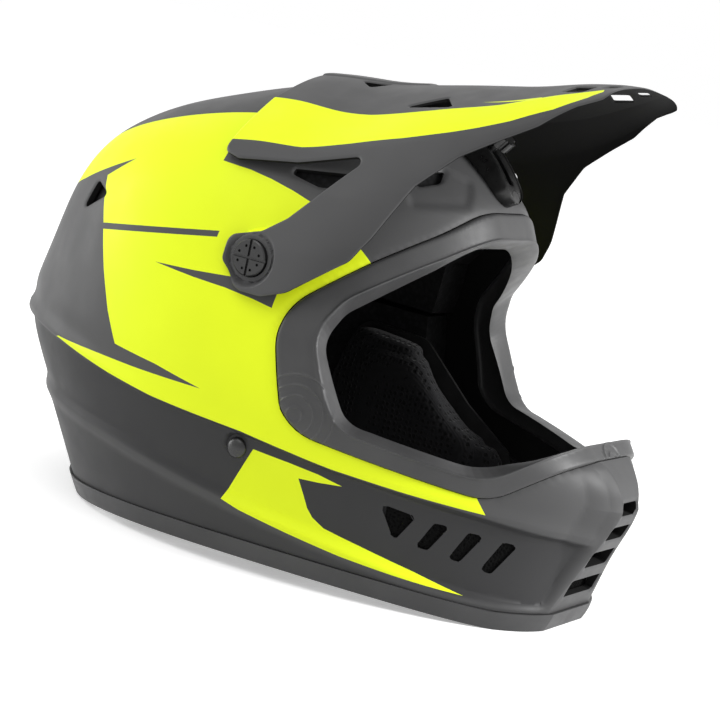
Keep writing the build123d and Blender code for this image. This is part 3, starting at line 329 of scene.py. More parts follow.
def natural_spline(knots, values, at):
    """Values of the natural cubic spline through the knots."""
    knots, values = np.asarray(knots, float), np.asarray(values, float)
    flat = values.reshape(len(values), -1)
    count, gap = len(knots), np.diff(knots)
    rows, right = np.zeros((count, count)), np.zeros(flat.shape)
    rows[0, 0] = rows[-1, -1] = 1
    slope = np.diff(flat, axis=0) / gap[:, None]
    for i in range(1, count - 1):
        rows[i, i - 1:i + 2] = gap[i - 1], 2 * (gap[i - 1] + gap[i]), gap[i]
        right[i] = 6 * (slope[i] - slope[i - 1])
    bend = np.linalg.solve(rows, right)
    cell = np.clip(np.searchsorted(knots, at) - 1, 0, count - 2)
    wide = gap[cell][:, None]
    a = (knots[cell + 1] - at)[:, None] / wide
    b = (at - knots[cell])[:, None] / wide
    curve = a * flat[cell] + b * flat[cell + 1]
    curve += ((a**3 - a) * bend[cell] + (b**3 - b) * bend[cell + 1]) * wide**2 / 6
    return curve.reshape(cell.shape + values.shape[1:])


def run_of(points):
    """Length along a line at each of its points."""
    return np.r_[0, np.cumsum(np.linalg.norm(np.diff(points, axis=0), axis=1))]


def smooth_line(points, steps=8):
    """A smooth line through the points."""
    points = np.asarray(points, float)
    run, last = run_of(points), len(points) - 1
    at = np.interp(np.linspace(0, last, last * steps + 1), range(last + 1), run)
    return natural_spline(run, points, at)


def rounded_corner(before, corner, after, radius, steps):
    """Points of the arc that rounds a corner between its neighbours."""
    a, b = before - corner, after - corner
    a, b = a / np.linalg.norm(a), b / np.linalg.norm(b)
    half = math.acos(np.clip(a @ b, -1, 1)) / 2
    centre = corner + (a + b) / np.linalg.norm(a + b) * radius / math.sin(half)
    start, end = (corner + way * radius / math.tan(half) - centre for way in (a, b))
    share = np.linspace(0, 1, steps + 1)[:, None]
    rays = start * (1 - share) + end * share
    return centre + rays / np.linalg.norm(rays, axis=1, keepdims=True) * radius


def rounded_loop(points, radii, steps=6):
    """A closed outline with each corner rounded by its radius."""
    points = np.asarray(points, float)
    corners = zip(np.roll(points, 1, axis=0), points, np.roll(points, -1, axis=0),
                  np.broadcast_to(radii, len(points)))
    return np.vstack([rounded_corner(before, corner, after, radius, steps) if radius else corner
                      for before, corner, after, radius in corners])


def outline(shares, corners):
    """A closed outline of the side view from shares, with the rounding of its corners."""
    return rounded_loop(in_mm(shares), np.array(corners) * HALF_LENGTH)


def signed(points, loop):
    """Distance of 2-D points to a closed outline, positive inside."""
    loop = np.asarray(loop, float)
    nearest = np.full(len(points), 1e9)
    inside = np.zeros(len(points), bool)
    for a, b in zip(loop, np.roll(loop, -1, axis=0)):
        side = b - a
        along = np.clip(((points - a) @ side) / max(side @ side, 1e-12), 0, 1)
        nearest = np.minimum(nearest, np.linalg.norm(points - a - along[:, None] * side, axis=1))
        if a[1] != b[1]:
            crosses = (a[1] > points[:, 1]) != (b[1] > points[:, 1])
            at = (b[0] - a[0]) * (points[:, 1] - a[1]) / (b[1] - a[1]) + a[0]
            inside ^= crosses & (points[:, 0] < at)
    return np.where(inside, nearest, -nearest)


def above(points, line):
    """Distance of 2-D points to an open line from rear to front, positive above it."""
    line = np.asarray(line)
    loop = np.vstack([line, [[line[-1][0], 900], [line[0][0], 900]]])
    return signed(points, loop)


# Triangle nets over a surface's own two directions

def quads(a, b, c, d):
    """Two triangles for each four corners."""
    return np.concatenate([np.stack(corners, -1).reshape(-1, 3) for corners in ((a, b, c), (a, c, d))])


def edges_of(tris):
    return np.concatenate([tris[:, [0, 1]], tris[:, [1, 2]], tris[:, [2, 0]]])


def net_of(u_values, v_values):
    u, v = np.meshgrid(u_values, v_values)
    index = np.arange(u.size).reshape(u.shape)
    tris = quads(index[:-1, :-1], index[:-1, 1:], index[1:, 1:], index[1:, :-1])
    return np.stack([u.ravel(), v.ravel()], 1), tris


def split(net, field, *levels, snap=0.04, near=None):
    """Adds vertices where a field over the net crosses each level, or only between near vertices."""
    for level in levels or (0.0,):
        net = split_once(net, field, level, snap, near)
    return net


def split_once(net, field, level, snap, near):
    uv, tris = net
    value = field(uv) - level
    value[np.abs(value) < snap] = 0
    sign = np.sign(value)
    near = np.ones(len(uv), bool) if near is None else near(uv)
    edges = np.sort(edges_of(tris), axis=1)
    cut = edges[(sign[edges[:, 0]] * sign[edges[:, 1]] < 0) & near[edges].all(axis=1)]
    if not len(cut):
        return net
    cut = np.unique(cut, axis=0)
    share = value[cut[:, 0]] / (value[cut[:, 0]] - value[cut[:, 1]])
    new = uv[cut[:, 0]] + (uv[cut[:, 1]] - uv[cut[:, 0]]) * share[:, None]
    added = {(a, b): len(uv) + i for i, (a, b) in enumerate(map(tuple, cut))}
    after = np.roll(tris, -1, axis=1)
    crossing = (sign[tris] * sign[after] < 0) & near[tris] & near[after]
    crossed = crossing.any(1)
    extra = []
    for tri, mark in zip(tris[crossed].tolist(), crossing[crossed].tolist()):
        once = sum(mark) == 1
        i = mark.index(once)
        a, b, c = tri[i], tri[(i + 1) % 3], tri[(i + 2) % 3]
        if once:
            m = added[min(a, b), max(a, b)]
            extra += [(a, m, c), (m, b, c)]
        else:
            m, n = added[min(b, c), max(b, c)], added[min(a, c), max(a, c)]
            extra += [(c, n, m), (n, a, b), (n, b, m)]
    return np.vstack([uv, new]), np.concatenate([tris[~crossed], np.array(extra)])


def cut_along(net, place, loop, reach=7.0):
    """Splits the net along each side of an outline, so that its thin points stay sharp."""
    loop = np.asarray(loop, float)
    for a, b in zip(loop, np.roll(loop, -1, axis=0)):
        side = (b - a) / np.linalg.norm(b - a)
        across = np.array([-side[1], side[0]])

        def near(uv):
            run = np.clip((place(uv) - a) @ side, 0, np.linalg.norm(b - a))
            return np.linalg.norm(place(uv) - a - run[:, None] * side, axis=1) < reach

        net = split(net, lambda uv: (place(uv) - a) @ across, near=near)
    return net


def kept(net, field):
    """The triangles of the net where the field is positive."""
    uv, tris = net
    value = field(uv)
    tris = tris[value[tris].mean(1) > 0]
    used, index = np.unique(tris, return_inverse=True)
    return uv[used], index.reshape(-1, 3)


def trimmed(net, *fields):
    """The net cut off along the zero line of each field."""
    for field in fields:
        net = kept(split(net, field), field)
    return net


# The body's surface

def body_columns():
    """Places of the body's rows along its surface, and the rows in millimetres with one below."""
    rows = np.array(BODY_SHARES) * [HALF_LENGTH, HEIGHT, HALF_LENGTH, HEIGHT, HALF_WIDTH, HALF_WIDTH, 1]
    lowest = rows[0] - (rows[1] - rows[0]) * 0.9
    lowest[5:] = rows[0][5:]
    rows = np.vstack([lowest, rows])
    sides = np.stack([rows[:, 4], (rows[:, 1] + rows[:, 3]) / 2], 1)
    return sum(run_of(line) for line in (rows[:, 0:2], rows[:, 2:4], sides)) / 3, rows


BODY_KNOTS, BODY_ROWS = body_columns()


def body_point(uv):
    """Points of the body's surface at +X: u from the nose round to the rear, v upwards."""
    u, v = uv[:, 0], np.clip(uv[:, 1], 0, BODY_KNOTS[-1])
    fy, fz, ry, rz, width, nose, share = natural_spline(BODY_KNOTS, BODY_ROWS, v).T
    widest = fy + (ry - fy) * share
    front = np.clip((u - NOSE_END) / (WIDEST - NOSE_END), 0, 1) * math.pi / 2
    rear = np.clip((u - WIDEST) / (1 - WIDEST), 0, 1) * math.pi / 2
    x = nose + (width - nose) * np.sin(front) ** (2 / FRONT_POWER)
    y = widest - (widest - fy) * np.abs(np.cos(front)) ** (2 / FRONT_POWER)
    x = np.where(u < NOSE_END, nose * u / NOSE_END, x)
    y = np.where(u < NOSE_END, fy, y)
    behind = u > WIDEST
    x = np.where(behind, width * np.abs(np.cos(rear)) ** (2 / REAR_POWER), x)
    y = np.where(behind, widest + (ry - widest) * np.sin(rear) ** (2 / REAR_POWER), y)
    x = np.where(u >= 1, 0, x)
    z = fz + (y - fy) * (rz - fz) / (ry - fy)
    return np.stack([x, y, z], 1)


def surface_normal(point, uv, step=(0.002, 0.5)):
    """Outward unit normals, from small steps along both directions."""
    du, dv = np.array([step[0], 0]), np.array([0, step[1]])
    inner = np.clip(uv, [step[0] * 1.01, -1e9], [1 - step[0] * 1.01, 1e9])
    along = point(inner + du) - point(inner - du)
    up = point(inner + dv) - point(inner - dv)
    normal = np.cross(along, up)
    size = np.linalg.norm(normal, axis=1)
    normal = np.where(size[:, None] > 1e-9, normal / np.maximum(size, 1e-9)[:, None], [0, 0, 1])
    normal[uv[:, 1] > BODY_KNOTS[-1] - 1.0] = (0, 0, 1)
    return normal


def side_view(uv):
    return body_point(uv)[:, 1:]


def on_body(field):
    """A field of points as a field over a net of the body's surface."""
    return lambda uv: field(body_point(uv))


# Writing meshes

def closed_skin(outer, inner, tris, faces):
    """Points, triangles and face values of a skin with its inside and its edges."""
    count = len(outer)
    edges = edges_of(tris)
    owner = np.tile(np.arange(len(tris)), 3)
    keys = np.sort(edges, axis=1) @ [count, 1]
    _, first, times = np.unique(keys, return_index=True, return_counts=True)
    rim = first[times == 1]
    a, b = edges[rim].T
    every = np.concatenate([tris, tris[:, ::-1] + count, quads(b, a, a + count, b + count)])
    source = np.concatenate([np.arange(len(tris)), np.arange(len(tris)), owner[rim], owner[rim]])
    faces = {key: np.asarray(value, float)[source] for key, value in faces.items()}
    faces["inside"] = np.arange(len(every)) >= len(tris)
    return np.vstack([outer, inner]), every, faces


def write_mesh(name, points, tris, faces=None, corners=None, sharp=38):
    """A smooth-shaded object from points in millimetres."""
    used, index = np.unique(tris, return_inverse=True)
    tris = index.reshape(-1, 3)
    mesh = bpy.data.meshes.new(name)
    mesh.vertices.add(len(used))
    mesh.vertices.foreach_set("co", (np.asarray(points)[used] * MM).ravel())
    mesh.loops.add(len(tris) * 3)
    mesh.loops.foreach_set("vertex_index", tris.ravel())
    mesh.polygons.add(len(tris))
    mesh.polygons.foreach_set("loop_start", np.arange(len(tris)) * 3)
    mesh.update(calc_edges=True)
    values = [(key, "FACE", value) for key, value in (faces or {}).items()]
    values += [(key, "POINT", value[used]) for key, value in (corners or {}).items()]
    for key, place, value in values:
        mesh.attributes.new(key, "FLOAT", place).data.foreach_set("value", value.astype(np.float32))
    mesh.shade_smooth()
    mesh.set_sharp_from_angle(angle=math.radians(sharp))
    piece = bpy.data.objects.new(name, mesh)
    bpy.context.scene.collection.objects.link(piece)
    return piece


def write_skin(name, outer, inner, tris, faces=None, corners=None, sharp=38):
    """A mirrored skin from its right half's outer and inner points, joined in the middle."""
    middle = np.abs(outer[:, 0]) < 0.02
    index = np.arange(len(outer))
    image = np.where(middle, index, index + len(outer))
    tris = np.vstack([tris, image[tris][:, ::-1]])
    centred = middle[:, None] & (np.arange(3) == 0)
    outer, inner = (np.vstack([np.where(centred, 0, half), half * [-1, 1, 1]])
                    for half in (outer, inner))
    faces = {key: np.r_[value, value] for key, value in (faces or {}).items()}
    corners = {key: np.tile(value, 4) for key, value in (corners or {}).items()}
    return write_mesh(name, *closed_skin(outer, inner, tris, faces), corners, sharp)


def apply_modifiers(piece):
    shown = bpy.context.evaluated_depsgraph_get()
    mesh = bpy.data.meshes.new_from_object(piece.evaluated_get(shown), depsgraph=shown)
    old, name = piece.data, piece.data.name
    piece.modifiers.clear()
    piece.data = mesh
    bpy.data.meshes.remove(old)
    mesh.name = name


# Materials

class Mix:
    """Builds the nodes of a material or a world step by step."""

    def __init__(self, owner, shader="Principled BSDF", **values):
        owner.use_nodes = True
        self.owner = owner
        self.tree = owner.node_tree
        self.shader = self.tree.nodes[shader]
        for key, value in values.items():
            self.set(key.replace("_", " "), value)

    def put(self, socket, value):
        """Links a node's output to a socket, or sets its value; one number is a grey."""
        if isinstance(value, bpy.types.NodeSocket):
            self.tree.links.new(value, socket)
        elif socket.type == "RGBA":
            red, green, blue = value if hasattr(value, "__len__") else (value,) * 3
            socket.default_value = (red, green, blue, 1)
        else:
            socket.default_value = value

    def set(self, name, value):
        self.put(self.shader.inputs[name], value)

    def add(self, kind, values=(), out=0, **options):
        """A new node's output, after setting its options and its inputs by name or number."""
        made = self.tree.nodes.new(kind)
        for key, value in options.items():
            setattr(made, key, value)
        for key, value in dict(values).items():
            self.put(made.inputs[key], value)
        return made.outputs[out]

    def math(self, operation, a, b):
        return self.add("ShaderNodeMath", {0: a, 1: b}, operation=operation)

    def where(self):
        return self.add("ShaderNodeTexCoord", out=3)

    def attribute(self, name):
        return self.add("ShaderNodeAttribute", out=2, attribute_name=name)

    def noise(self, scale, detail):
        return self.add("ShaderNodeTexNoise",
                        {"Vector": self.where(), "Scale": scale, "Detail": detail})

    def cells(self, scale, randomness=1.0):
        return self.add("ShaderNodeTexVoronoi",
                        {"Vector": self.where(), "Scale": scale, "Randomness": randomness})

    def range(self, value, low, high, start=0.0, end=1.0):
        return self.add("ShaderNodeMapRange", {0: value, 1: start, 2: end, 3: low, 4: high})

    def noisy(self, scale, detail, low, high, start=0.3):
        """Noise that wavers between two values."""
        return self.range(self.noise(scale, detail), low, high, start, 0.7)

    def blend(self, factor, first, second, mode="MIX"):
        return self.add("ShaderNodeMix", {0: factor, 6: first, 7: second}, 2,
                        data_type="RGBA", blend_type=mode)

    def bump(self, height, strength, distance):
        values = {"Height": height, "Strength": strength, "Distance": distance}
        self.set("Normal", self.add("ShaderNodeBump", values))


def material(name, **values):
    return Mix(bpy.data.materials.new(name), **values)


def painted(name, look):
    """Matte two-colour paint with fine orange peel, whose grey darkens into partly a darker paint and
    partly painted shade; the inside is near black and rough.
    """
    mix = material(name, Specular_IOR_Level=0.22)
    inside = mix.attribute("inside")
    # The darker grey is painted shade on the visor's turned-in flank, and on the shell's band and skirt it
    # is partly painted shade and partly a darker paint.
    grey = mix.blend(mix.attribute("tone"), look.grey, look.dark)
    colour = mix.blend(mix.attribute("bright"), grey, look.neon)
    colour = mix.blend(1.0, colour, mix.noisy(9, 4, 0.94, 1.05), "MULTIPLY")
    # The inside faces and the cut edges are near black.
    mix.set("Base Color", mix.blend(inside, colour, 0.003))
    rough = mix.noisy(60, 2, look.roughness - 0.05, look.roughness + 0.05)
    mix.set("Roughness", mix.math("MAXIMUM", rough, mix.math("MULTIPLY", inside, 0.9)))
    mix.bump(mix.noise(1100, 2), 0.12, 0.00015)
    return mix.owner


def flecked(name, colour, flecks, fleck_colour, rough, grain, **values):
    """A plain colour with faint flecks, uneven roughness and fine grain."""
    mix = material(name, **values)
    mix.set("Base Color", mix.blend(mix.noisy(*flecks), colour, fleck_colour))
    mix.set("Roughness", mix.noisy(*rough))
    scale, detail, strength, depth = grain
    mix.bump(mix.noise(scale, detail), strength, depth)
    return mix.owner


def rubber(name, colour):
    """Soft black rubber with fine grain."""
    return flecked(name, colour, (40, 4, 0, 0.2, 0.35), 0.10, (120, 3, 0.40, 0.50),
                   (1500, 3, 0.16, 0.0002), Specular_IOR_Level=0.35)


def moulded(name, colour, roughness):
    """Moulded plastic with a fine spark-eroded grain."""
    return flecked(name, colour, (90, 3, 0, 0.2), 0.04,
                   (200, 2, roughness - 0.06, roughness + 0.08), (1800, 2, 0.18, 0.00015))


def metal(name, colour, roughness):
    """Turned metal with faint flecks."""
    return flecked(name, colour, (200, 3, 0, 0.3), 0.2,
                   (500, 2, roughness - 0.05, roughness + 0.1), (1200, 2, 0.08, 0.0001), Metallic=1.0)


def beaded_foam(name, colour):
    """Expanded foam: packed beads with dark seams."""
    mix = material(name, Specular_IOR_Level=0.15)
    cells = mix.cells(330)
    mix.set("Base Color", mix.blend(mix.range(cells, 0, 0.7, 0.25, 0.6), colour, 0.006))
    mix.set("Roughness", mix.noisy(60, 2, 0.62, 0.8))
    mix.bump(mix.math("MULTIPLY", cells, -1.0), 0.5, 0.0004)
    return mix.owner


def open_foam(name, colour):
    """Open-cell filter foam: small dark pores in a net."""
    mix = material(name, Specular_IOR_Level=0.04)
    cells = mix.cells(700)
    mix.set("Base Color", mix.blend(mix.range(cells, 1, 0, 0.1, 0.5), colour, 0.001))
    mix.set("Roughness", mix.noisy(80, 2, 0.85, 0.98))
    mix.bump(cells, 0.9, 0.0007)
    return mix.owner


def knit(name, colour):
    """Air mesh: a net of small round holes over fine rows of loops, with a soft sheen."""
    mix = material(name, Specular_IOR_Level=0.2, Sheen_Weight=0.12, Sheen_Roughness=0.4)
    holes = mix.range(mix.cells(300, 0.3), 0, 1, 0.22, 0.42)
    rows = mix.add("ShaderNodeTexWave", {"Vector": mix.where(), "Scale": 420, "Distortion": 0.6}, 1)
    loops = mix.math("MULTIPLY", mix.math("MULTIPLY", rows, mix.cells(672)), 0.3)
    height = mix.math("ADD", loops, holes)
    mix.set("Base Color", mix.blend(mix.range(height, 0, 1, 0.2, 1.1), 0.0015, colour))
    mix.set("Roughness", mix.noisy(50, 2, 0.8, 0.95))
    mix.bump(height, 0.8, 0.0008)
    return mix.owner


def woven(name, colour):
    """Webbing: a fine twill across the strap's width."""
    mix = material(name, Sheen_Weight=0.25)
    turned = [mix.add("ShaderNodeMapping", {"Vector": mix.where(), "Rotation": (turn, 0, 0)})
              for turn in (0.8, -0.8)]
    waves = [mix.add("ShaderNodeTexWave", {"Vector": place, "Scale": 320}, 1, bands_direction="Z")
             for place in turned]
    height = mix.math("MAXIMUM", *waves)
    mix.set("Base Color", mix.blend(mix.range(height, 0, 1, 0.2, 1.0), 0.004, colour))
    mix.set("Roughness", mix.range(height, 0.9, 0.65))
    mix.bump(height, 0.6, 0.0004)
    return mix.owner


def cloth_of(key, make, *values):
    """A material by its name, made the first time it is asked for."""
    name = key + "_finish"
    return bpy.data.materials.get(name) or make(name, *values)


def finish_piece(piece, material, body, slot, *nodes):
    piece.data.materials.clear()
    piece.data.materials.append(material)
    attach(piece, body)
    if nodes:
        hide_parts(*nodes)
    return piece


# Shell

PORT = outline(PORT_EDGE, PORT_CORNERS)
MOUTH = outline(PORT_MOUTH, MOUTH_CORNERS)
VENTS = [rounded_loop(in_mm(shares), VENT_CORNER)
         for shares in SIDE_VENTS + (REAR_VENT, BROW_VENT, SCOOP_VENT)]
UPPER_LINE, LOWER_LINE = smooth_line(in_mm(UPPER_BELT)), smooth_line(in_mm(LOWER_BELT))


def base_height(y):
    """Height of the shell's lower edge above the floor, arched between the feet."""
    front, rear = np.array(BASE_FEET) * HALF_LENGTH
    across = np.clip((y - front) / (rear - front), 0, 1)
    return BASE_HEIGHT + BASE_ARCH * 4 * across * (1 - across)


def nose_slots(points):
    """Distance into the slots of the nose, positive inside."""
    best = np.full(len(points), -1e9)
    for centre, height, width in FRONT_VENTS:
        dx = np.abs(points[:, 0]) - width * HALF_WIDTH + VENT_CORNER
        dz = np.abs(points[:, 2] - centre * HEIGHT) - height * HEIGHT / 2 + VENT_CORNER
        outside = np.hypot(np.maximum(dx, 0), np.maximum(dz, 0)) + np.minimum(np.maximum(dx, dz), 0)
        best = np.maximum(best, VENT_CORNER - outside)
    return np.where(points[:, 1] < -0.8 * HALF_LENGTH, best, -50)


def vents(points):
    """Distance into the nearest vent, positive inside."""
    return np.max([nose_slots(points)] + [signed(points[:, 1:], loop) for loop in VENTS], axis=0)


def smooth(value):
    value = np.clip(value, 0, 1)
    return value * value * (3 - 2 * value)


def hill(value, wide):
    return np.exp(-(value / wide) ** 2)


def rolled(distance, reach, drop):
    """How far a surface sinks at a rounded edge: drop at the edge, none beyond reach."""
    return -drop * np.clip(1 - distance / reach, 0, 1) ** 2


def band_place(points):
    """Distances below the upper belt line and above the lower one."""
    side = points[:, 1:]
    return -above(side, UPPER_LINE), above(side, LOWER_LINE)


def beyond_crease(points):
    """Distance from the crease that parts the nose's front from its sides, positive on the sides."""
    return points[:, 0] - np.interp(points[:, 2], CREASE_HEIGHTS, CREASE)


def nose_fade(points):
    """0 on the nose's front, 1 on the sides."""
    front = smooth((NOSE_REAR - points[:, 1]) / 18)
    return 1 - front * (1 - smooth((beyond_crease(points) - 0.5) / 8))


def nose_height(points):
    """The nose drawn out to an edge above its slots, and its sides sunk behind the crease."""
    forward = smooth((-140 - points[:, 1]) / 16)
    off = np.maximum(beyond_crease(points), 0)
    out = np.interp(points[:, 2], [12, NOSE_EDGE, 88], [0, NOSE_OUT, 1.4])
    sunk = np.minimum(off / CREASE_WIDTH, 1) * (1 - smooth((off - 8) / 40))
    return (out * forward * (1 - np.minimum(off / 19, 1))
            - CREASE_SINK * sunk * smooth((-112 - points[:, 1]) / 25))


def band_height(points, depth):
    """The side band: a lip along its top, an undercut, a slow fall and a soft ledge at its foot."""
    below, over = band_place(points)
    rear = smooth((points[:, 1] - 30) / 60)
    chin = smooth((-70 - points[:, 1]) / 40)
    fade = nose_fade(points)
    share = np.clip(below / np.maximum(below + over, 1e-6), 0, 1)
    sunk = smooth(below / (2.4 + 3 * chin)) * smooth(over / 6.0)
    fall = depth * (1 - 0.35 * rear + 0.45 * chin) * fade * (0.75 + 0.35 * share) * sunk
    lip = (0.5 + 0.9 * rear + 0.9 * chin) * hill(below + 1.5, 2.6 + 1.5 * chin) * fade
    undercut = 0.9 * rear * hill(below + 9, 5)
    ledge = 0.8 * hill(over + 1.0, 3.0) * fade * (1 - 0.5 * chin)
    return lip + ledge - fall - undercut


def band_tone_and_shade(points):
    """How dark the grey is, partly a darker paint and partly painted shade: the band darkest, the skirt
    under it a little lighter.
    """
    below, over = band_place(points)
    band = smooth(below / 1.2) * smooth((over + 0.5) / 2.5)
    skirt = 0.72 * smooth((-over - 3.0) / 3.0)
    return np.maximum(band, skirt) * nose_fade(points)


def crown_field(points):
    """Distance from the grey field on the crown, positive outside."""
    places = np.clip(points[:, 1], CROWN_PLACES[0], CROWN_PLACES[-1])
    edge = natural_spline(CROWN_PLACES, CROWN_WIDTHS, places)
    return np.where(points[:, 2] > CROWN_START, np.abs(points[:, 0]) - edge, 50)


def shell_paint(points):
    """1 where the shell is bright, from points well inside each painted area."""
    side = points[:, 1:]
    bright = (signed(side, NEON_SIDE) > 0) & (crown_field(points) > 0)
    for loop in (REAR_PANEL, TAPER_STRIPE, PIVOT_SPIKE):
        bright &= signed(side, loop) < 0
    return bright | (signed(side, PANEL_BLOCK) > 0)


def shell_net(step):
    """A net over the half body with about even steps in millimetres."""
    round_nose = np.linspace(0, NOSE_END, 8)[:-1]
    u = np.r_[round_nose, np.linspace(NOSE_END, 1, int(HALF_ROUND / step))]
    return net_of(u, np.linspace(0, BODY_KNOTS[-1], int(BODY_KNOTS[-1] / step)))


def bored(net, place, centre, hole, rings):
    """Cuts a round hole across the flank and adds edges for the seat round it."""
    away = lambda uv: np.hypot(*(place(uv) - centre).T)
    return trimmed(split(net, away, *rings), lambda uv: away(uv) - hole)


def forehead_dish(points):
    """Depth of the shallow hollow round each forehead vent."""
    into = smooth(signed(points[:, [0, 2]], FOREHEAD_DISH) / 3.0)
    return np.where(points[:, 1] < -35, DISH_DEPTH * into, 0)


def cut_shell(step):
    """The shell's net with its openings cut, and edges along its creases and painted lines."""
    base = lambda uv: side_view(uv)[:, 1] - base_height(side_view(uv)[:, 0])
    net = trimmed(shell_net(step), base, lambda uv: -signed(side_view(uv), PORT))
    opened = on_body(lambda points: -vents(points))
    net = kept(split(net, opened, *VENT_LEVELS), opened)
    for which in (0, 1):
        net = split(net, on_body(lambda points: band_place(points)[which]), *BELT_LEVELS)
    for loop in (NEON_SIDE, REAR_PANEL, TAPER_STRIPE, PIVOT_SPIKE, PANEL_BLOCK):
        net = cut_along(net, side_view, loop)
    net = split(net, on_body(crown_field))
    front = lambda uv: side_view(uv)[:, 0] < NOSE_REAR
    for field, level in ((beyond_crease, 0), (lambda points: points[:, 2], NOSE_EDGE),
                         (beyond_crease, CREASE_WIDTH)):
        net = split(net, on_body(field), level, near=front)
    for centre, hole, rings, _ in SEATS:
        net = bored(net, side_view, centre, hole, rings)
    return net


def make_shell():
    """The painted shell, with its band, vents and port cut out of one fine skin."""
    look = settings("helmet_shell")
    uv, tris = cut_shell(look.mesh_step * (1))
    points, normal = body_point(uv), surface_normal(body_point, uv)
    height = band_height(points, look.band_depth) + nose_height(points)
    height += rolled(-vents(points), *VENT_ROLL) + rolled(-signed(points[:, 1:], PORT), *PORT_ROLL)
    height = np.maximum(height - forehead_dish(points), DEEPEST)
    outer = points + normal * height[:, None]
    inner = points + normal * np.minimum(-THICKNESS, height - THINNEST)[:, None]
    for centre, _, rings, face in SEATS:
        away = np.hypot(*(points[:, 1:] - centre).T)
        outer[:, 0] += (face - outer[:, 0]) * smooth((rings[-1] - away) / SEAT_SLOPE)
    bright = shell_paint(body_point(uv[tris].mean(axis=1)))
    # The band and the skirt get a darker grey per vertex: partly a darker paint, partly painted shade.
    piece = write_skin("shell", outer, inner, tris, {"bright": bright}, {"tone": band_tone_and_shade(points)})
    paint = cloth_of("shell_paint", painted, look)
    return finish_piece(piece, paint, "root", "painted_shell", "outer_shell")


# Eye port trim

def trim_profile(share, bead):
    """Height of the trim's face from its outer edge (0) to its mouth (1)."""
    at, rise = np.array(TRIM_PROFILE).T
    return np.interp(share, at, np.where(rise < 0, rise, rise * bead))


def ring_height(points):
    """Plain concentric rings raised on the trim at its lower corners and above the chin."""
    height = np.zeros(len(points))
    for centre, radius in TRIM_RINGS:
        away = np.linalg.norm(points - centre, axis=1)
        off = np.abs(away - np.round(away / RING_PITCH) * RING_PITCH)
        height += RING_RISE * smooth(1 - off / RING_HALF) * (away > RING_PITCH / 2) * (away < radius)
    return height


def make_eye_trim():
    """The broad moulded rubber edge of the eye port, turned inwards at its mouth."""
    look = settings("helmet_trim")
    inside = lambda uv: signed(side_view(uv), PORT) - TRIM_GAP
    beyond = lambda uv: -signed(side_view(uv), MOUTH)
    net = kept(shell_net(TRIM_STEPS[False]), lambda uv: inside(uv) + 4)
    net = trimmed(net, inside, beyond)

    def share(uv):
        a, b = np.maximum(inside(uv), 0), np.maximum(beyond(uv), 0)
        return a / np.maximum(a + b, 1e-6)

    net = split(net, share, *(level for level, _ in TRIM_PROFILE[1:-1]), snap=0.002)
    for centre, radius in TRIM_RINGS:
        away = on_body(lambda points: np.linalg.norm(points - centre, axis=1))
        levels = [ring + side for ring in np.arange(RING_PITCH, radius, RING_PITCH)
                  for side in (-RING_HALF, -0.3, 0, 0.3, RING_HALF)]
        net = split(net, away, *levels, snap=0.02, near=lambda uv: away(uv) < radius + 3)
    uv, tris = net
    points, normal = body_point(uv), surface_normal(body_point, uv)
    face = trim_profile(share(uv), look.bead)
    outer = points + normal * (face + ring_height(points))[:, None]
    inner = points + normal * (face - TRIM_WALL)[:, None]
    piece = write_skin("eye_trim", outer, inner, tris, sharp=60)
    rubbery = cloth_of("edge_rubber", rubber, look.rubber)
    return finish_piece(piece, rubbery, "root", "edge_rubber", "eye_port_trim")


# Visor

def section_points(station):
    """One cross-section of the visor from ridge to foot, as even steps of half width and height."""
    points = np.array(station) * [HALF_WIDTH, HEIGHT]
    top = np.array([points[1] * [-1, 1], points[0], points[1]])
    run = run_of(top)
    crown = natural_spline(run, top, np.linspace(run[1], run[2], 61))
    flank = points[1:]
    run = run_of(flank)
    at = np.linspace(0, run[-1], 101)
    chord = np.stack([np.interp(at, run, values) for values in flank.T], 1)
    side = natural_spline(run, flank, at) * 0.65 + chord * 0.35
    return np.vstack([crown, side[1:]])


def visor_table():
    """The visor's surface as a table: rows along Y, columns from ridge to foot."""
    stations = np.array([row[0] for row in VISOR_SHARES])[::-1] * HALF_LENGTH
    sections = np.array([section_points(row[1]) for row in VISOR_SHARES])[::-1]
    along = np.linspace(stations[0], stations[-1], 301)
    table = natural_spline(stations, sections, along)
    points = np.concatenate([table, np.broadcast_to(along[:, None, None], table.shape[:2] + (1,))], 2)
    return points[:, :, [0, 2, 1]]


VISOR = visor_table()
VISOR_NORMALS = np.cross(np.gradient(VISOR, axis=0), np.gradient(VISOR, axis=1))
VISOR_NORMALS /= np.linalg.norm(VISOR_NORMALS, axis=2, keepdims=True)
VISOR_NORMALS *= np.sign(VISOR_NORMALS[150, 5, 2])


def looked_up(table, uv):
    """Values of a table at shares of its columns and rows."""
    place = uv[:, ::-1] * (np.array(table.shape[:2]) - 1)
    low = np.clip(place.astype(int), 0, np.array(table.shape[:2]) - 2)
    part = place - low
    r, c = low.T
    a, b = part[:, :1], part[:, 1:]
    upper = table[r, c] * (1 - b) + table[r, c + 1] * b
    lower = table[r + 1, c] * (1 - b) + table[r + 1, c + 1] * b
    return upper * (1 - a) + lower * a


def visor_point(uv):
    return looked_up(VISOR, uv)


def plan_view(uv):
    return visor_point(uv)[:, :2]


VISOR_SIDE_LOOP = outline(VISOR_EDGE, VISOR_CORNERS)
VISOR_PLAN_LOOP = rounded_loop(np.array(VISOR_PLAN) * [HALF_WIDTH, HALF_LENGTH],
                               np.array(PLAN_CORNERS) * HALF_LENGTH, 10)
VISOR_WINDOWS = [rounded_loop(np.array(vent) * [HALF_WIDTH, HALF_LENGTH], VISOR_VENT_CORNER)
                 for vent in VISOR_VENTS]


